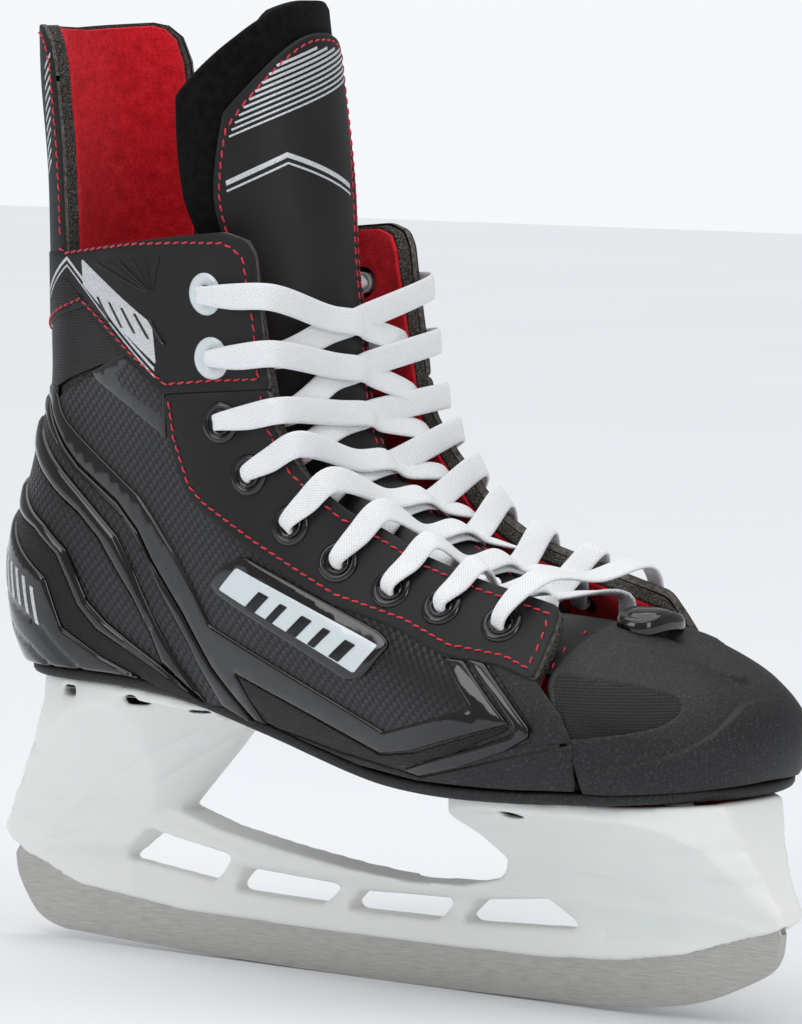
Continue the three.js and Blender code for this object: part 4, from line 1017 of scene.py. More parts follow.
# ------------------------------------------------------------------ outer panels
COUNTER_EDGE = [(-63, 89.4), (-84, 100), (-99, 108), (-104, 115), (-111, 127), (HEEL_CORNER, 134)]
BACKSTAY_LOW = [(HEEL_BACK, 178), (-125, 175.8), (-108, 175.8), (-86, 182.4), (-68, 187)]
RIB1_MID = [
    (HEEL_BACK, 174.5), (-125, 173), (-114, 171), (-103, 162), (-92, 153), (-74, 143), (-65, 135),
    (-59, 126), (-47, 111), (-37, 95), (-29, 86), (-23, 78.6),
]
RIB1_LOW = [
    (HEEL_BACK, 170), (-128, 169.5), (-115, 166), (-104, 159), (-93, 151), (-71, 138), (-63, 129),
    (-56, 117), (-46, 102), (-36, 83),
]
RIB2_TOP = [
    (HEEL_BACK, 166.5), (-128, 166), (-117, 162), (-100, 152), (-86, 142), (-74, 133), (-67, 123),
    (-60, 109), (-52, 95), (-42, 82.5),
]
RIB2_LOW = [
    (HEEL_BACK, 158.5), (-128, 157.5), (-118, 153), (-105, 146), (-91, 138), (-82, 131), (-77, 125),
    (-68, 114), (-62, 104), (-59, 94.5),
]
RIB3_TOP = [
    (HEEL_BACK, 148), (-130, 145), (-119, 140), (-105, 134), (-95, 127), (-91, 120), (-87, 112),
    (-80, 106), (-70, 100), (-59.5, 94),
]
RIB3_LOW = [
    (HEEL_BACK, 143), (-135, 140.5), (-124, 136), (-110, 132), (-99, 125), (-95, 118), (-91, 110),
    (-84, 103), (-71, 97), (-54, 88.5), (-44, 83.5),
]
HEEL_TOP = [
    (HEEL_BACK, 137), (-140, 136), (-129, 133), (-116, 125), (-104, 118), (-101, 111), (-98, 103),
    (-84, 95), (-62, 86.8),
]
PANEL_LEFT = [
    (-108, 174), (-102, 168), (-93, 162), (-76, 152), (-64, 145), (-58, 139), (-49, 129), (-41, 118),
    (-35, 108),
]
PANEL_FOOT = [(36, 82), (70, 92), (57, 105.6)]
PANEL_BACK = 0.9
FOOT_STATIONS = (-100, -80, -60, -45, -30, -22, -10, 0, 20, 45, 80, TOE)


def wall_foot(s):
    """The height of the boot wall's foot, just over the outsole."""
    return float(along(SOLE_LINE, s)[0]) + OUTSOLE + 0.75


def foot_row(low, high):
    """The wall's foot from one station to another, as (s, z) rows."""
    stations = [low, *[s for s in FOOT_STATIONS if low + 2 < s < high - 2], high]
    return [(s, wall_foot(s)) for s in stations]


def on_both(make, name, rows, *args, **options):
    """A piece on each side of the boot, from an outline of (s, z) points."""
    made = []
    for side, turn in SIDES:
        made.append(make(f"{name}_{side}", turn(rows), *args, **options))
    return made


def boot_shell(name, outline, top, bottom, material, slot, corner=0, stands_for=(), **options):
    """A skin on the boot that rides with it."""
    if corner:
        outline = rounded(outline, corner)
    piece = shell(name, boot, outline, top, bottom, material, **options)
    return finish_piece(piece, "boot", stands_for)


def wrapped_band(name, upper, lower, top, bottom, material, slot, stands_for=(), **options):
    """A skin that runs round the heel from one side of the boot to the other."""
    return boot_shell(name, round_heel(upper, lower), top, bottom, material, slot, 0, stands_for, **options)


def make_carbon_base():
    base = [
        *foot_row(-60, TOE), (103, wall_foot(103)), (104, 72), (99.5, 85), (88.4, 97.5),
        (76, 105), (57, 107), (40, 113), (15, 119), (-16, 133), (-36, 144), (-42, 149), (-48, 163),
        (-50, 176.5), (-66, 187), (-85, 181), (-108, 172), (HEEL_BACK, 167),
        (HEEL_BACK, 137), *[(s + 0.8, z + 0.8) for s, z in reversed(COUNTER_EDGE)],
    ]
    for side, turn in SIDES:
        boot_shell(f"quarter_carbon_{side}", turn(base), 0.45, SKIN, CARBON, "carbon",
                   stands_for=[f"quarter_{side}"], roll=0.3)


def make_ribs():
    """The gloss frame and ribs that sweep down round the heel, with the strips between them."""
    upper = [*BACKSTAY_LOW[:3], *PANEL_LEFT, *PANEL_FOOT]
    lower = [
        *RIB1_MID[:-1], (-23, 79.8), (-18.5, 78.8), (-22, 85), (-26.5, 94), (32, 75.3), (46, 77.5),
        (83, 88.3), (64, 105.4),
    ]
    wrapped_band("frame_gloss", upper, lower, -0.35, PANEL_BACK, GLOSS, "gloss_black", roll=0.9)
    wrapped_band("rib_gloss_1", [(s, z - 0.5) for s, z in RIB1_MID], RIB1_LOW, -0.9, PANEL_BACK, GLOSS,
                 "gloss_black", roll=1.3)
    wrapped_band("strip_carbon", RIB1_LOW, RIB2_TOP, -0.2, PANEL_BACK, CARBON, "carbon", roll=0.3)
    wrapped_band("rib_gloss_2", RIB2_TOP, RIB2_LOW, -1.5, PANEL_BACK, GLOSS, "gloss_black", roll=2.3)
    wrapped_band("panel_carbon_low", RIB2_LOW, RIB3_TOP, -0.5, PANEL_BACK, CARBON, "carbon", roll=0.3)
    wrapped_band("rib_gloss_3", RIB3_TOP, RIB3_LOW, -1.9, PANEL_BACK, GLOSS, "gloss_black", roll=1.8)
    wrapped_band("strip_dotted", RIB3_LOW, HEEL_TOP, -1.0, PANEL_BACK, DOTTED, "gloss_black", roll=0.4)
    make_heel_piece()


def make_side_panels():
    dotted = [(-14, 78.4), (15, 73.8), (32, 72), (41, 72.5), (62, 77.5), (82.5, 86.5), (82, 87.6),
              (47, 76.8), (32, 74.6), (-25.5, 93.6), (-21.5, 85)]
    on_both(boot_shell, "panel_dotted", dotted, -0.1, PANEL_BACK, DOTTED, "carbon", corner=1, roll=0.4)
    v_out = [(64.4, 105.6), (77, 95.4), (84.6, 88), (84.6, 85.6), (74, 81.6), (50, 74.2), (41, 71.4),
             (47, 70), (64, 74.2), (82, 80.4), (90, 85), (90, 87.6), (81, 96), (71, 104.6)]
    on_both(boot_shell, "chevron_gloss", v_out, -0.9, PANEL_BACK, GLOSS, "gloss_black", corner=0.8, roll=1.0)
    toe_side = [(82, 80.8), (104, 84.5), (99.5, 92), (89, 100.4), (80, 103.6), (72, 105), (82, 96),
                (91, 87.6), (91, 84)]
    on_both(boot_shell, "toe_side_panel", toe_side, 0.0, PANEL_BACK, GRAINED, "grained_black", corner=0.8,
            roll=0.6)
    low_side = [*foot_row(-15, 103), (104, 72), (104, 84), (88, 80), (64, 73.6), (47, 69.4), (30, 71.4),
                (12, 73.4)]
    on_both(boot_shell, "lower_side_panel", low_side, -0.15, PANEL_BACK, GRAINED, "grained_black", roll=0.6)


def make_heel_piece():
    grooves = [
        [(-130, 112), (-119, 107), (-108, 103), (-101, 96), (-90, 87)],
        [(-130, 102), (-116, 96), (-109, 91), (-100, 87)],
    ]
    lines = [dense(turn(rows), 1, closed=False) for rows in grooves for _, turn in SIDES]

    def relief(flat):
        depth = np.zeros(len(flat))
        for line in lines:
            depth += 0.9 * np.exp(-(distance_to(flat, line, closed=False) / 0.9) ** 2)
        return depth

    foot = foot_row(HEEL_BACK, -62.5)
    wrapped_band("heel_gloss", HEEL_TOP, foot, -2.1, SKIN, GLOSS, "gloss_black", ["heel_counter"],
                 roll=1.6, step=1.6, relief=relief)
    top = [(-137, 124.6), (-131, 123.6), (-116, 119), (-107, 113)]
    low = [(-136, 116), (-130, 113.6), (-115, 108), (-106, 102)]
    half_bar = 0.75
    for side, turn in SIDES:
        for k, s in enumerate(np.linspace(-134.5, -109.5, 7)):
            head = (s, float(along(top, s)[0]))
            tail = (s + 1.3, float(along(low, s + 1.3)[0]))
            rows = [(head[0] - half_bar, head[1] + 0.3), (head[0] + half_bar, head[1] - 0.3),
                    (tail[0] + half_bar, tail[1] - 0.3), (tail[0] - half_bar, tail[1] + 0.3)]
            boot_shell(f"heel_bar_{side}_{k + 1}", turn(rows), -2.4, -1.9, SILVER, "gloss_white", roll=0.12,
                       step=2, edge_step=0.8)


make_carbon_base()
make_ribs()
make_side_panels()


def make_backstay():
    upper = [(HEEL_BACK, 189.5), (-128, 191), (-116, 193.8), (-113, 196.4), (-88, 201.6), (-70, 189.4),
             (-66.5, 187)]
    wrapped_band("backstay_dotted", upper, BACKSTAY_LOW, 0.2, SKIN, DOTTED, "synthetic",
                 ["backstay"], roll=0.4)


make_backstay()


def eyelet_holes(turn, picks, radius):
    """Round holes at the eyelets, as outlines on the boot."""
    holes = []
    for s, z in picks:
        (w, h), = turn([(s, z)])
        holes.append(true_circle(boot, w, h, radius))
    return holes


def groove(lines, depth, width):
    """A relief of pressed lines for a shell."""
    lines = [dense(line, 1, closed=False) for line in lines]

    def relief(flat):
        return sum(depth * np.exp(-(distance_to(flat, line, closed=False) / width) ** 2) for line in lines)

    return relief


CUFF_STITCH_TOP = [
    (-101, 218.6), (-97, 217), (-81, 219), (-63, 221), (-43, 222), (-28, 222.3), (-24, 220.6), (-21, 217.5),
    (-19, 208), (-17, 197), (-15.5, 182.5),
]
CUFF_STITCH_LOW = [(-128, 192.5), (-117, 195.5), (-90, 203.4), (-78, 196.6), (-64, 187.6), (-50, 179.6),
                   (-34, 181.2), (-15.5, 182.5)]


def make_cuffs():
    cuff = [
        (-12, 179.3), (-51, 176.3), (-70, 189.3), (-88, 201.3), (-96, 199.2), (-116, 194.2),
        (HEEL_BACK, 190.4), (HEEL_BACK, 216), (-101, 217.2), (-70, 221), (-45, 224), (-28, 225.6),
        (-20.5, 223.5), (-17.5, 219), (-16, 206), (-14, 193),
    ]
    ridge = [(-45, 222), (-52, 206), (-50, 198), (-49, 180)]
    for side, turn in SIDES:
        holes = eyelet_holes(turn, EYELETS[:WHITE_EYELETS], EYELET_HOLE)
        boot_shell(f"cuff_synthetic_{side}", turn(rounded(cuff, 2)), -0.35, SKIN, SYNTHETIC, "synthetic",
                   stands_for=[f"cuff_{side}"], roll=0.7, step=2.4, holes=holes, edge_material=EDGE,
                   relief=groove([turn(ridge), turn(CUFF_STITCH_LOW)], 0.35, 1.0))
        stitches(f"cuff_stitching_{side}", lambda w, z: below(boot, w, z, -0.35),
                 [turn(CUFF_STITCH_TOP), turn(CUFF_STITCH_LOW)])


make_cuffs()

FLAP_FRONT = [(88, 101), (87.5, 109), (87, 115), (85, 120), (79, 122)]
FLAP_TOP = [(62, 126), (37, 133), (14, 144.5), (-1, 156.5), (-10, 168)]
EYESTAY_STITCH = [
    (-14.5, 178), (-12.6, 168.8), (-4, 155.6), (12.4, 142.4), (36, 130.6), (61, 123.7), (77, 119.8),
    (82.6, 118.4), (84.4, 114.4), (84.9, 109), (84.8, 103.6), (76, 106.6), (58, 108.8), (41, 114.8),
    (16, 120.8), (-14.4, 134.8), (-35, 145.4), (-40.6, 150), (-46.4, 163.6), (-48.4, 175),
]


def make_eyestays():
    outline = [
        (-12, 179.6), (-10, 168), (-1, 156.5), (14, 144.5), (37, 133), (62, 126), (79, 122), (85.5, 120.5),
        (87, 115), (87.5, 109), (88, 100.4), (76, 104), (57, 106), (40, 112), (15, 118), (-16, 132),
        (-37, 143),
        (-43.5, 148.6), (-49, 163), (-51, 176.4),
    ]
    for side, turn in SIDES:
        holes = eyelet_holes(turn, EYELETS[WHITE_EYELETS:], EYELET_HOLE)
        boot_shell(f"eyestay_synthetic_{side}", turn(rounded(outline, 3)), -0.75, SKIN, SYNTHETIC,
                   "synthetic",
                   stands_for=[f"eyestay_{side}"], roll=0.55, step=2.4, holes=holes, edge_material=EDGE,
                   relief=groove([turn(EYESTAY_STITCH)], 0.3, 0.8))
        stitches(f"eyestay_stitching_{side}", lambda w, z: below(boot, w, z, -0.7), [turn(EYESTAY_STITCH)])


make_eyestays()


# ------------------------------------------------------------------ lining
def make_lining():
    flap = [*FLAP_FRONT[1:], *FLAP_TOP, (-12, 179), (-14, 193), (-16, 206), (-18, 219), (-21, 223.2),
            (-28, 224.8),
            (-45, 223.2), (-70, 220.2), (-101, 216.8)]
    upper = [(HEEL_BACK, 215.6), *reversed(flap), (87, 101)]
    lower = foot_row(HEEL_BACK, 86)
    holes = [hole for _, turn in SIDES for hole in eyelet_holes(turn, EYELETS, 4.9)]
    outline = round_heel(upper, lower)
    foam = shell("lining_foam", boot, outline, 1.95, 5.9, FOAM, roll=0.6, holes=holes, foot_roll=0.3)
    finish_piece(foam, "boot", ["padding"])
    inset = [(s - 0.8, z - 0.9) if z > 105 and s > HEEL_BACK else (s, z) for s, z in upper]
    red = shell("lining_red", boot, round_heel(inset, lower), 5.75, 7.0, RED, roll=0.3, holes=holes,
                foot_roll=0.5)
    finish_piece(red, "boot", ["liner"])


make_lining()

GUARD_TOP = [(-98, 219), (-98.6, 235), (-99.4, 250), (-103, 274), (-106.6, 281.5), (-112, 285),
             (-118, 286), (HEEL_BACK, 284.6)]


def guard_shell(name, top, bottom, material, slot, nodes, low, inset=0.0, **options):
    """A layer of the tendon guard. It starts below the flex line."""
    upper = [(HEEL_BACK, GUARD_TOP[-1][1] - inset),
             *[(s - inset, z - inset) for s, z in reversed(GUARD_TOP[:-1])]]
    upper.append((-98 - inset, low))
    lower = [(HEEL_BACK, low), (-120, low)]
    piece = shell(name, boot, round_heel(upper, lower), top, bottom, material, step=2.4, **options)
    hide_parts(*nodes)
    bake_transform(piece)
    return piece


GUARD_LOW = 214.5
GUARD_BARS, BAR_PITCH = 11, 3.2


def make_guard():
    guard_shell("guard_skin", 0.0, SKIN, SYNTHETIC, "synthetic", ["tendon_guard"], GUARD_LOW, roll=0.7,
                edge_material=EDGE)
    foam = guard_shell("guard_foam", SKIN + 0.05, 5.7, FOAM, "grey_foam", ["tendon_foam"], GUARD_LOW, 0.3,
                       roll=0.5)

    guard_shell("guard_lining", 5.6, 7.0, RED, "red_lining", ["tendon_liner"], GUARD_LOW, 1.0, roll=0.3,
                foot_roll=0.9)
    edge = [(HEEL_BACK + 3, 282.6), (-118, 283.4), (-112.6, 282.4), (-108.6, 279.4), (-105.4, 273),
            (-102, 250), (-100.8, 235), (-100.6, 222)]
    for side, turn in SIDES:
        piece = stitches(f"guard_stitching_{side}", boot, [turn(edge)], body=None)
        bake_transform(piece)
    for side, turn in SIDES:
        for k in range(GUARD_BARS):
            z = 238 + BAR_PITCH * k
            s = -112.5 + 0.2 * k
            rows = turn([(s, z + 2.2), (s + 5.4, z + 6.4), (s + 5.4, z + 7.5), (s, z + 3.3)])
            bar = shell(f"guard_bar_{side}_{k + 1}", boot, rows, -0.12, 0.2, SILVER, roll=0.06, step=3,
                        edge_step=1)
            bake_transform(bar)


make_guard()


# ------------------------------------------------------------------ toe
CAP_REAR = [(0, 105), (0.15, 104), (0.4, 100), (0.68, 90), (1, 90)]
CAP_LEDGE = [(90, 110.2), (112, 109), (135, 106.4), (155, 103), (162, 100.4), (TOE_TIP, 99.4)]
CAP_STEP = [(104, 76.6), (118, 78), (133, 82), (142, 86), (150, 90.5), (158, 94), (TOE_TIP, 94.4)]
CAP_INSET = [(101.2, 84.6), (116, 86.6), (128, 88.8), (134, 92), (136, 95), (134, 97.4), (119, 100.4),
             (98, 102.4), (90.4, 103)]


CAP_UNDER = 2.6


def cap_relief(s, z):
    """How much deeper the cap's surface lies, for its ledge, its step and its inset panel."""
    ledge = along(CAP_LEDGE, s)
    step = along(CAP_STEP, s)
    fade = np.clip((s - 92) / 30, 0, 1)
    low_fade = np.clip((s - 104) / 10, 0, 1)

    def rise(gap, width):
        t = np.clip(0.5 + gap / width, 0, 1)
        return t * t * (3 - 2 * t)

    above = rise(z - ledge, 1.1)
    lower = rise(step - z, 1.1)
    depth = -0.9 * fade * above * np.exp(-np.clip(z - ledge, 0, 50) / 9)
    depth = depth - 1.0 * low_fade * lower * np.clip(1 - (step - z) / 30, 0.2, 1)
    tip = np.clip((s - 146) / 14, 0, 1)
    depth = depth + 0.8 * tip * (1 - above) * (1 - lower)
    flat = np.stack([s, z], 1)
    ring = dense(rounded(CAP_INSET, 3), 1)
    gap = distance_to(flat, ring)
    depth = depth + 0.7 * np.where(inside(flat, ring), rise(gap - 0.3, 1.0), 0)
    return depth


def cap_faces(rows, columns):
    """The quads of the cap's upper side, closed along its crown line."""
    def at(row, column):
        return row * (columns + 1) + column

    faces = []
    for row in range(rows - 1):
        for column in range(columns):
            faces.append((at(row, column), at(row, column + 1), at(row + 1, column + 1),
                          at(row + 1, column)))
    top = rows - 1
    for column in range(columns // 2):
        a, b = at(top, column), at(top, column + 1)
        c, d = at(top, columns - column - 1), at(top, columns - column)
        faces.append((a, b, d) if b == c else (a, b, c, d))
    return faces


def make_toe_cap():
    columns, rows = 260, 96
    share = np.linspace(0, 1, rows)
    rear = along(CAP_REAR, share)
    turn = np.linspace(0, 1, columns + 1)
    out = np.where(turn <= 0.5, 2 * turn, 2 - 2 * turn)
    s = rear[:, None] + out[None] * (TOE_TIP - rear[:, None])
    foot = along(SOLE_LINE, s.ravel()).reshape(s.shape) + OUTSOLE + 0.3
    crown = along(CAP_CROWN_LINE, s.ravel()).reshape(s.shape)
    z = np.minimum(foot + share[:, None] * (crown - foot), crown - 0.35)
    w = np.where(turn[None] < 0.5, 1, -1) * (s - HEEL_BACK)
    flat_s, flat_w, flat_z = s.ravel(), w.ravel(), z.ravel()
    relief = cap_relief(flat_s, flat_z)
    edge = np.minimum(flat_s - np.repeat(rear, columns + 1), 1.2) / 1.2
    relief = relief + 0.8 * rolled(1 - edge)
    base = cap(flat_w, flat_z)
    normal = normals(cap, flat_w, flat_z)
    points = np.concatenate([base - normal * relief[:, None], base - normal * CAP_UNDER])
    count = len(flat_s)
    faces = closed_off(cap_faces(rows, columns), count)
    plan = np.tile(np.stack([flat_s, flat_z], 1), (2, 1))
    piece = new_mesh("toe_cap_grained", points, faces, GRAINED, plan)
    finish_piece(piece, "boot", ["toe_cap"])
    for side, turn in SIDES:
        piece = shell(f"toe_inset_{side}", cap, turn(rounded(CAP_INSET, 3)), 0.45, 1.4, DOTTED,
                      roll=0.25, step=2)
        finish_piece(piece, "boot")


make_toe_cap()


def make_vamp():
    rear, front, foot = 60.0, 97.0, 104.0
    depths = (2.7, 4.2)
    stations = np.linspace(rear, front, 30)
    half = 40
    points = []
    for depth in depths:
        for s in stations:
            crown = float(along(CAP_CROWN_LINE, s)[0]) - 0.3
            share = np.linspace(0, 1, half)
            z = foot + np.sin(share * math.pi / 2) * (crown - foot)
            w = np.full(half, s - HEEL_BACK)
            points.append(below(cap, w, z, depth))
            points.append(below(cap, -w, z, depth)[::-1])
    points = np.concatenate(points)
    columns, rows = 2 * half, len(stations)
    count = columns * rows
    faces = closed_off(net(rows, columns), count)
    piece = new_mesh("vamp_synthetic", points, faces, SYNTHETIC)
    finish_piece(piece, "boot", ["vamp"])
    lines = []
    for gap in (0, 3.4):
        lines += [turn([(90.8 - gap, 104), (89.6 - gap, 108), (88.6 - gap, 111.4), (87.6 - gap, 114.2),
                        (86.8 - gap, 116.2)])
                  for _, turn in SIDES]
    stitches("vamp_stitching", lambda w, z: below(cap, w, z, CAP_UNDER), lines)


make_vamp()


def make_badge():
    """The clip at the rear edge of the toe cap: a domed tab with a raised ring and an inlay."""
    centre = np.array([97, 3.4, 116.6])
    turns = 64
    angle = 2 * math.pi * np.arange(turns) / turns
    round_x = np.sign(np.cos(angle)) * np.abs(np.cos(angle)) ** 0.7 * np.where(np.cos(angle) > 0, 8.0, 6.4)
    round_y = np.sign(np.sin(angle)) * np.abs(np.sin(angle)) ** 0.75 * 11.2
    levels = [(1.0, -2.4), (1.03, -0.6), (1.0, 0.9), (0.94, 1.7), (0.86, 2.0), (0.8, 1.7), (0.76, 1.35),
              (0.7, 1.3), (0.66, 1.7), (0.6, 2.0), (0.4, 2.2), (0.2, 2.3)]
    points = []
    for size, height in levels:
        x, y = round_x * size, round_y * size
        fall = -0.012 * x ** 2 * np.where(x > 0, 1, 0.2) - 0.018 * y ** 2 - 0.06 * x
        points.append(np.stack([x, y, height + fall], 1) + centre)
    faces = rings_joined(len(levels), turns)
    last = (len(levels) - 1) * turns
    faces.append(tuple(last + k for k in range(turns)))
    faces.append(tuple(reversed(range(turns))))
    piece = new_mesh("badge_gloss", np.concatenate(points), faces, GLOSS, sharp=50)
    finish_piece(piece, "boot", ["lace_guard"])


make_badge()


def tongue_top(share, top, drop, middle, power):
    """The height of a layer's upper edge, at a share of its half width from its middle."""
    return top - drop * np.abs(share - middle) ** power


FELT_EDGE = (293.5, 17.5, 0.15, 2.1)
FACING_EDGE = (FACING_TOP, 12.2, 0.25, 2.5)


def tongue_layer(name, half_arc, edge, depth, thick, material, nodes, relief=None, rows=120,
                 columns=60):
    """One layer of the tongue: edges rolled and upper corners rounded. edges rolled, upper corners rounded,
    and bent over the flex line.
    """
    across = np.linspace(-1, 1, columns)
    across = np.sign(across) * (1 - (1 - np.abs(across)) ** 1.5)
    share = np.linspace(0, 1, rows)
    c, r = np.meshgrid(across, share)
    limit = tongue_top(-c, *edge)
    z = TONGUE_FOOT + r * (limit - TONGUE_FOOT)
    w = -along(half_arc, z.ravel()).reshape(z.shape) * c
    flat_w, flat_z = w.ravel(), z.ravel()
    base = tongue(flat_w, flat_z)
    normal = normals(tongue, flat_w, flat_z)
    half = along(half_arc, flat_z)
    side_gap = half - np.abs(flat_w)
    top_gap = (limit - z).ravel()
    gap = np.minimum(side_gap, top_gap)
    roll = min(0.8, 0.45 * thick)
    u = 1 - np.clip(gap / (roll * 1.6), 0, 1)
    round_off = roll * rolled(u)
    pressed = relief(np.stack([flat_w, flat_z], 1)) if relief else 0
    upper = base - normal * (depth + round_off + pressed)[:, None]
    lower = base - normal * (depth + thick - round_off)[:, None]
    points = np.concatenate([upper, lower])
    count = rows * columns
    faces = closed_off(net(rows, columns), count)
    plan = np.tile(np.stack([flat_w, flat_z], 1), (2, 1))
    piece = new_mesh(name, points, faces, material, plan, sharp=60)
    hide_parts(*nodes)
    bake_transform(piece)
    return piece


SEAM_ROW = [(22.5, 279), (22.2, 271.5), (17.4, 254), (13.7, 239), (12, 225), (10, 204.5), (7.5, 180),
            (5, 160), (4, 140), (3, 124)]


def tongue_seam(shift):
    """A line beside the seam that runs down the inner half of the facing."""
    return [(w + shift, z) for w, z in SEAM_ROW]


def make_tongue():
    felt = tongue_layer("tongue_felt", FELT_HALF, FELT_EDGE, 2.1, 6.2, FELT,
                        ["tongue_felt_lower", "tongue_felt_upper"])
    seam = dense(tongue_seam(2.1), 1, closed=False)

    def relief(flat):
        return 0.7 * np.exp(-(distance_to(flat, seam, closed=False) / 0.8) ** 2)

    tongue_layer("tongue_facing", FACING_HALF, FACING_EDGE, -0.1, 1.8, SYNTHETIC,
                 ["tongue_facing_lower", "tongue_facing_upper"], relief, rows=260, columns=120)
    edge = [(-(float(along(FACING_HALF, z)[0]) - 2.1), z) for z in np.linspace(124, 258, 60)]
    shares = np.linspace(-0.9, 0.8, 40)
    for share in shares:
        z = float(tongue_top(share, *FACING_EDGE))
        edge.append((share * (float(along(FACING_HALF, z)[0]) - 2.2), z - 2.2))
    rows = [edge, tongue_seam(0), tongue_seam(4.2)]
    piece = stitches("tongue_stitching", tongue, rows, body=None)
    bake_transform(piece)


make_tongue()


def tongue_print(name, rows):
    """A thin silver shape printed on the tongue."""
    piece = shell(name, tongue, rows, -0.28, 0.1, SILVER, roll=0.08, step=3, edge_step=1.2)
    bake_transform(piece)


def make_tongue_prints():
    slope, pitch, lowest, thick = 0.287, 1.57, 264.5, 0.55
    for k in range(10):
        middle = lowest + pitch * k
        left = -32 + 0.9 * k + 0.11 * k ** 2
        right = min(20.4, (279 - middle) / slope)
        width = thick + 0.03 * k
        ends = [(left, middle + slope * left), (right, middle + slope * right)]
        rows = [*ends, *[(w - 0.2, z + width) for w, z in reversed(ends)]]
        tongue_print(f"tongue_line_{k + 1}", rows)
    for k, (drop, width) in enumerate(((0, 1.6), (2.9, 0.7))):
        top = [(-34.6, 242.6 - drop), (-15.2, 249.1 - drop), (10.8, 238.8 - drop)]
        tongue_print(f"tongue_chevron_{k + 1}", [*top, *[(w, z - width) for w, z in reversed(top)]])


make_tongue_prints()


# ------------------------------------------------------------------ prints and plates on the boot
CUFF_TOP = -0.35


def cuff_marks(side, turn):
    """Short slanted bars on the cuff's plate, in place of a name."""
    for k in range(5):
        share = (k + 0.5) / 5
        s = -84 + 30 * share
        z = 206.2 + 1.4 * share
        bar = [(s, z), (s + 1.2, z), (s + 7.2, z - 7.4), (s + 6.0, z - 7.4)]
        bar = [(a, b - 8.5 * share - 1.0) for a, b in bar]
        boot_shell(f"cuff_mark_{side}_{k + 1}", turn(bar), CUFF_TOP - 0.4, -0.3, GLOSS,
                   "gloss_black", roll=0.1)


def cuff_ribs(side, turn):
    for k in range(6):
        share = (k + 0.5) / 6
        start = (-84.4 + 35 * share, 214.6 + 3 * share)
        end = (-55.6 + 0.8 * share, 206 + 1 * share)
        start, end = np.array(start), np.array(end)
        end = start + (end - start) * 0.92
        across = np.array([0.0, 0.45])
        bar = [tuple(start - across), tuple(end - across), tuple(end + across), tuple(start + across)]
        boot_shell(f"cuff_rib_{side}_{k + 1}", turn(bar), CUFF_TOP - 0.45, 0, SATIN, "synthetic",
                   roll=0.4)


def make_cuff_prints():
    parallelogram = [(-88.6, 215.6), (-55, 197.4), (-53.6, 185.4), (-88, 207.6)]
    chevron = [(-113, 205.4), (-96.4, 216), (-80, 203.6), (-54.4, 184.4)]
    for side, turn in SIDES:
        boot_shell(f"cuff_plate_{side}", turn(rounded(parallelogram, 0.8)), CUFF_TOP - 0.25, 0, SILVER,
                   "gloss_white", roll=0.1)
        for k, (shift, width) in enumerate(((0, 1.1), (2.4, 0.6))):
            row = [(s, z - shift) for s, z in chevron]
            outline = [*row, *[(s, z - width) for s, z in reversed(row)]]
            boot_shell(f"cuff_line_{side}_{k + 1}", turn(outline), CUFF_TOP - 0.15, 0, SILVER,
                       "gloss_white", roll=0.08)
        cuff_marks(side, turn)
        cuff_ribs(side, turn)
        small = [(-110.6, 199.6), (-97.4, 209.6), (-88.6, 203.2), (-109.6, 196.8)]
        boot_shell(f"cuff_ribbed_{side}", turn(small), CUFF_TOP - 0.15, 0, DOTTED, "synthetic", roll=0.15)


make_cuff_prints()


def make_insert():
    """The small carbon panel in its gloss frame, between the backstay and the eyelets."""
    ring = [(-86, 181.6), (-73, 186.6), (-68, 188.4), (-50.6, 178), (-50.6, 163), (-66, 171), (-84, 179)]
    carbon = [(-73, 181.4), (-66, 186), (-51.4, 177.4), (-51.6, 169.6), (-61.4, 173.8), (-71, 178.4)]
    for side, turn in SIDES:
        boot_shell(f"insert_frame_{side}", turn(rounded(ring, 0.8)), -0.3, 0.9, GLOSS, "gloss_black",
                   roll=1.0)
        boot_shell(f"insert_carbon_{side}", turn(carbon), -0.42, 0.5, CARBON, "carbon", roll=0.15)


make_insert()


def make_name_plate():
    """The plate's black frame with its pale inlay; in place of a name it has plain slanted bars."""
    frame_ring = [(-31, 118), (-33, 121.4), (-27, 127), (-18.6, 130.2), (34, 111), (38, 108), (29, 97.6),
                  (22, 96.4)]
    inlay = [(-28.4, 119.6), (-20.6, 126.6), (34.2, 107.2), (26, 98.8)]
    for side, turn in SIDES:
        boot_shell(f"plate_frame_{side}", turn(rounded(frame_ring, 2.5)), -0.7, 0.6, GLOSS,
                   "gloss_black", roll=0.9)
        boot_shell(f"plate_inlay_{side}", turn(rounded(inlay, 1)), -1.0, -0.2, WHITE_GLOSS,
                   "gloss_white", roll=0.2)
        bars = 5
        for k in range(bars):
            share = 0.17 + 0.155 * k
            low = np.array([-26.5 + 54 * share, 118.2 - 19.2 * share])
            high = low + np.array([6.2, 5.2])
            lean = np.array([3.4, -1.2]) * (0.8 if k % 2 else 1.15)
            bar = [tuple(low), tuple(low + lean), tuple(high + lean), tuple(high)]
            boot_shell(f"plate_bar_{side}_{k + 1}", turn(rounded(bar, 0.4)), -1.25, -0.9, SATIN,
                       "gloss_black", roll=0.15, step=2)


make_name_plate()


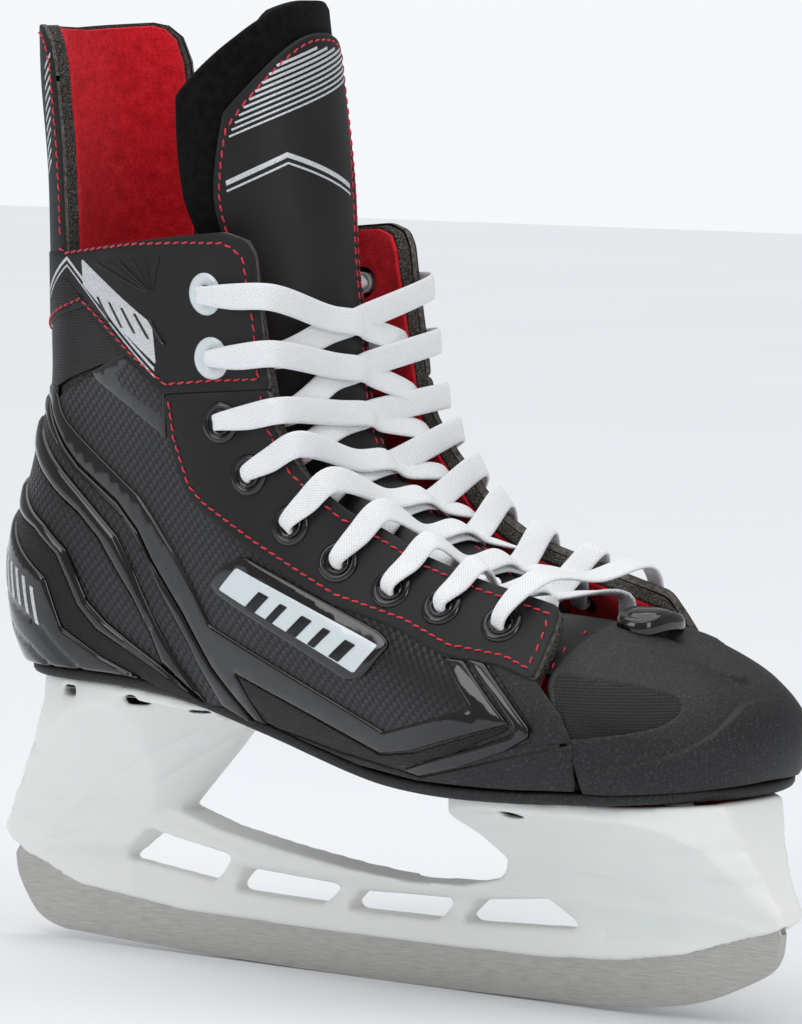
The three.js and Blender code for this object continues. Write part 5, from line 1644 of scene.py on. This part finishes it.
# ------------------------------------------------------------------ eyelets
EYELET_RING = [
    (2.6, -7.4), (3.3, -7.4), (3.3, -1.9), (3.5, -0.8), (5.9, -0.8), (6.25, -0.55), (6.3, -0.1),
    (6.0, 0.45), (5.4, 0.85), (4.8, 0.95), (4.3, 0.75), (4.05, 0.4), (3.9, 0.35), (3.7, 0.7),
    (3.35, 0.95), (3.0, 0.85), (2.7, 0.4), (2.6, -0.5),
]
WASHER_RING = [
    (2.6, -7.4), (3.3, -7.4), (3.3, -1.9), (3.5, -1.1), (6.0, -1.1), (6.35, -0.9), (6.4, -0.55),
    (6.1, -0.15), (5.2, 0.15), (4.2, 0.15), (3.5, 0.0), (3.0, -0.2), (2.7, -0.6), (2.6, -1.2),
]
EYELET_LIFT = 0.85


def make_eyelets():
    white = (WASHER_RING, WHITE_GLOSS, "gloss_white")
    black = (EYELET_RING, GLOSS, "gloss_black")
    for side, sign in (("lateral", OUTER), ("medial", INNER)):
        for k in range(len(EYELETS)):
            point, normal = eyelet_place(k, sign, -EYELET_LIFT)
            ring, look, slot = white if k < WHITE_EYELETS else black
            piece = lathe(f"eyelet_ring_{side}_{k + 1}", ring, point, normal, look)
            finish_piece(piece, "boot", [f"eyelet_{side}_{k + 1}"])


make_eyelets()


# ------------------------------------------------------------------ holder, runner and sole
LUG_RADIUS, LUG_HEIGHT, HEAD_HEIGHT = 0.0046, 0.0028, 0.0012
HOLDER_VOXEL, HOLDER_PASSES = 0.0009, 12


def add_lugs(mesh):
    """A round lug of the flange's thickness at each rivet, so that its shank is covered all round."""
    made = bmesh.new()
    made.from_mesh(mesh)
    for name in NODES:
        if name.startswith("rivet_"):
            low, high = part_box(name)
            middle = [(low[0] + high[0]) / 2, (low[1] + high[1]) / 2, low[2] + HEAD_HEIGHT + LUG_HEIGHT / 2]
            bmesh.ops.create_cone(made, cap_ends=True, segments=32, radius1=LUG_RADIUS, radius2=LUG_RADIUS,
                                  depth=LUG_HEIGHT, matrix=Matrix.Translation(middle))
    made.to_mesh(mesh)
    made.free()


def make_holder():
    """The holder's CAD solid, remeshed finely and smoothed, so that its edges are moulded ones."""
    source = NODES["holder"].data.copy()
    add_lugs(source)
    piece = bpy.data.objects.new("holder_moulded", source)
    bpy.context.scene.collection.objects.link(piece)
    remesh = piece.modifiers.new("remesh", "REMESH")
    remesh.mode = "VOXEL"
    remesh.voxel_size = HOLDER_VOXEL
    smooth = piece.modifiers.new("smooth", "SMOOTH")
    smooth.factor = 0.5
    smooth.iterations = HOLDER_PASSES
    bpy.context.view_layer.update()
    evaluated = piece.evaluated_get(bpy.context.evaluated_depsgraph_get())
    mesh = bpy.data.meshes.new_from_object(evaluated)
    piece.modifiers.clear()
    piece.data = mesh
    mesh.materials.clear()
    mesh.materials.append(HOLDER)
    count = len(mesh.vertices)
    place = np.zeros(count * 3, np.float32)
    mesh.vertices.foreach_get("co", place)
    normal = np.zeros(count * 3, np.float32)
    mesh.vertex_normals.foreach_get("vector", normal)
    place, normal = place.reshape(-1, 3).astype(float), normal.reshape(-1, 3).astype(float)
    press = holder_relief(place / MM)
    outward = np.abs(normal[:, 1]) > 0.3
    place -= normal * (press * outward * MM)[:, None]
    mesh.vertices.foreach_set("co", place.astype(np.float32).ravel())
    mesh.polygons.foreach_set("use_smooth", np.ones(len(mesh.polygons), bool))
    mesh.update()
    finish_piece(piece, "boot", ["holder"])


HOLDER_LINES = [
    [(-97.7, 54), (-63, 71.1)],
    [(-86.2, 50.2), (-50.2, 72.1)],
    [(-102.2, 52.7), (-92.4, 48.2), (-77.4, 42.7), (-50.3, 35.9)],
]
HOLDER_PANELS = [
    [(-133, 31.5), (-121.5, 40.1), (-110.5, 47), (-104.2, 48.6), (-98.5, 47.8), (-92, 44), (-97.1, 22.2),
     (-118.7, 26.8)],
    [(78, 42), (91, 41.5), (122, 31), (104, 24), (86, 21)],
]
HOLDER_SCALLOPS = [
    [(-132, 62.6), (-123.4, 58.4), (-116.4, 54.6)],
    [(-139, 49.8), (-131.1, 46.9), (-124.6, 44.1)],
    [(-146, 39.8), (-141.4, 36.8), (-137.5, 36)],
    [(143, 54.5), (131, 52), (119, 50.5)],
    [(146, 43), (137, 42), (128, 41.5)],
]


def holder_relief(points):
    """How far the moulded lines, sunk panels and end scallops go in, in mm."""
    flat = points[:, [0, 2]]
    depth = np.zeros(len(flat))
    for lines, deep, wide in ((HOLDER_LINES, 0.35, 0.9), (HOLDER_SCALLOPS, 0.9, 2.2)):
        for line in lines:
            gap = distance_to(flat, np.array(line), closed=False)
            depth += deep * np.exp(-(gap / wide) ** 2)
    for ring in HOLDER_PANELS:
        ring = np.array(ring)
        gap = distance_to(flat, ring)
        depth += np.where(inside(flat, ring), 0.45 * np.clip(gap / 1.2, 0, 1), 0)
    return depth


make_holder()


def arc_rows(rows, step=1.5):
    """A smooth line through rows of (x, z)."""
    made = smooth_route([(x, 0, z) for x, z in rows], step)
    return [(p[0], p[2]) for p in made]


RUNNER_HALF, ROCKER = 1.5, 2700


def make_runner():
    rocker = [(x, 0 if abs(x) < 8 else x * x / (2 * ROCKER)) for x in np.linspace(-118, 88, 80)]
    rear = [(-148, 25), (-147, 19), (-143, 12), (-138, 6.5), (-129, 3.2)]
    front = [(104, 3), (118, 5.6), (131, 10.5), (144, 17.5), (147, 22), (148, 28.5)]
    top = [(146, 33), (118, 27), (116, 34), (100, 34), (98, 21.5), (18, 18.4), (-74, 18.8), (-104, 21.5),
           (-104, 37), (-120, 37), (-121, 24.5), (-144, 31)]
    bottom = arc_rows([*rear, *rocker[::8], rocker[-1], *front])
    ring = np.array([*bottom, *top])
    bevel = 0.18
    d = unit(np.roll(ring, -1, axis=0) - np.roll(ring, 1, axis=0))
    inward = np.stack([-d[:, 1], d[:, 0]], 1)
    small = ring + inward * bevel
    count = len(ring)
    levels = [(small, RUNNER_HALF), (ring, RUNNER_HALF - bevel), (ring, bevel - RUNNER_HALF),
              (small, -RUNNER_HALF)]
    points = np.concatenate([np.stack([r[:, 0], np.full(count, y), r[:, 1]], 1) for r, y in levels])
    faces = rings_joined(len(levels), count)
    made = delaunay_2d_cdt([Vector(p) for p in small], [(k, (k + 1) % count) for k in range(count)], [],
                           1, 1e-5)
    for a, b, c in made[2]:
        faces.append((c, b, a))
        faces.append((a + 3 * count, b + 3 * count, c + 3 * count))
    piece = new_mesh("runner_steel", points, faces, STEEL, sharp=20)
    finish_piece(piece, "boot", ["runner"])


make_runner()


def outsole_rings():
    """The outsole's edge profile at each station round the boot's footprint."""
    stations = [HEEL_BACK + t for t in np.linspace(0, TOE_TIP - HEEL_BACK, 150)]
    profile = [(3.0, -0.1), (1.2, 0.0), (0.3, 0.5), (-0.25, 1.4), (-0.3, 2.6), (0.1, 3.35), (0.9, 3.7),
               (3, 3.7)]
    rings = []
    for sign in (1, -1):
        for s in stations if sign == 1 else reversed(stations[1:-1]):
            surface = cap if s >= TOE - 8 else boot
            z = float(along(SOLE_LINE, s)[0]) + 2
            w = sign * (s - HEEL_BACK)
            place = surface(w, z)[0]
            normal = normals(surface, np.array([w]), np.array([z]))[0]
            normal[2] = 0
            normal = unit(normal)
            base = min(max(s, -140), 139)
            level = float(along(SOLE_LINE, base)[0])
            rings.append([(*(place - normal * inset)[:2], level + height) for inset, height in profile])
    return np.array(rings)


def outsole_faces(count, sides):
    """The outsole's rounded edge, and its flat upper and lower sides in strips across."""
    faces = []
    for i in range(count):
        j = (i + 1) % count
        for k in range(sides - 1):
            faces.append((i * sides + k, j * sides + k, j * sides + k + 1, i * sides + k + 1))
    half = count // 2
    for i in range(1, half):
        a, b = i, count - i
        c, d = (count - i - 1) % count, i + 1
        for row, flip in ((0, True), (sides - 1, False)):
            face = [a * sides + row, d * sides + row, c * sides + row, b * sides + row]
            if c == d:
                face = face[:2] + face[3:]
            faces.append(tuple(reversed(face)) if flip else tuple(face))
    for row, flip in ((0, True), (sides - 1, False)):
        face = [row, sides + row, (count - 1) * sides + row]
        faces.append(tuple(reversed(face)) if flip else tuple(face))
    return faces


def make_outsole():
    rings = outsole_rings()
    faces = outsole_faces(*rings.shape[:2])
    piece = new_mesh("outsole_grained", rings.reshape(-1, 3), faces, GRAINED, sharp=60)
    finish_piece(piece, "boot", ["outsole"])


make_outsole()


def dress(pattern, material):
    """Puts a material on the CAD nodes whose names start with a pattern."""
    for name, node in NODES.items():
        if name.startswith(pattern):
            node.data.materials.clear()
            node.data.materials.append(material)


for start, look in (
    ("insole_board", BOARD), ("footbed", FELT), ("aglet", WHITE_GLOSS), ("rivet", PLATED),
    ("runner_bolt", PLATED),
):
    dress(start, look)


# ------------------------------------------------------------------ floor and light
def make_floor():
    mesh = bpy.data.meshes.new("floor")
    size = 4
    mesh.from_pydata([(-size, -size, 0), (size, -size, 0), (size, size, 0), (-size, size, 0)], [],
                     [(0, 1, 2, 3)])
    look = Look("pale_floor", (0.9, 0.92, 0.945), 0.75)
    look.colour(look.ramp(look.noise(3, 2), [(0.3, (0.89, 0.91, 0.935)), (0.7, (0.91, 0.93, 0.955))]))
    look.bump(look.noise(500, 2), 0.0001, 0.2)
    mesh.materials.append(look.material)
    floor = bpy.data.objects.new("floor", mesh)
    bpy.context.scene.collection.objects.link(floor)


def make_lamp(name, place, aim, size, power, colour=(1, 1, 1)):
    data = bpy.data.lights.new(name, "AREA")
    data.shape = "RECTANGLE"
    data.size, data.size_y = size
    data.energy = power
    data.color = colour
    lamp = bpy.data.objects.new(name, data)
    bpy.context.scene.collection.objects.link(lamp)
    lamp.location = place
    lamp.rotation_mode = "QUATERNION"
    lamp.rotation_quaternion = (Vector(aim) - Vector(place)).to_track_quat("-Z", "Y")


CEILING_STRENGTH = 1.75


def make_lights():
    """A white sweep behind the object, and lamps that leave its sides darker than the background."""
    world = bpy.data.worlds.new("studio")
    world.use_nodes = True
    tree = world.node_tree
    seen = tree.nodes["Background"]
    seen.inputs["Color"].default_value = (0.915, 0.94, 0.97, 1)
    seen.inputs["Strength"].default_value = 1.0
    fill = tree.nodes.new("ShaderNodeBackground")
    fill.inputs["Color"].default_value = (0.95, 0.97, 1, 1)
    fill.inputs["Strength"].default_value = 0.36
    path = tree.nodes.new("ShaderNodeLightPath")
    choice = tree.nodes.new("ShaderNodeMixShader")
    tree.links.new(path.outputs["Is Camera Ray"], choice.inputs[0])
    tree.links.new(fill.outputs[0], choice.inputs[1])
    tree.links.new(seen.outputs[0], choice.inputs[2])
    tree.links.new(choice.outputs[0], tree.nodes["World Output"].inputs["Surface"])
    bpy.context.scene.world = world
    make_lamp("key", (-0.55, -1.5, 1.1), (0, 0, 0.15), (0.7, 0.9), 6)
    make_lamp("front", (1.6, -0.5, 0.8), (0, 0, 0.12), (0.5, 1.0), 5)
    data = bpy.data.lights.new("ceiling", "SUN")
    data.energy = CEILING_STRENGTH
    data.angle = math.radians(75)
    bpy.context.scene.collection.objects.link(bpy.data.objects.new("ceiling", data))
    bpy.context.scene.view_settings.view_transform = "Standard"


make_floor()
make_lights()
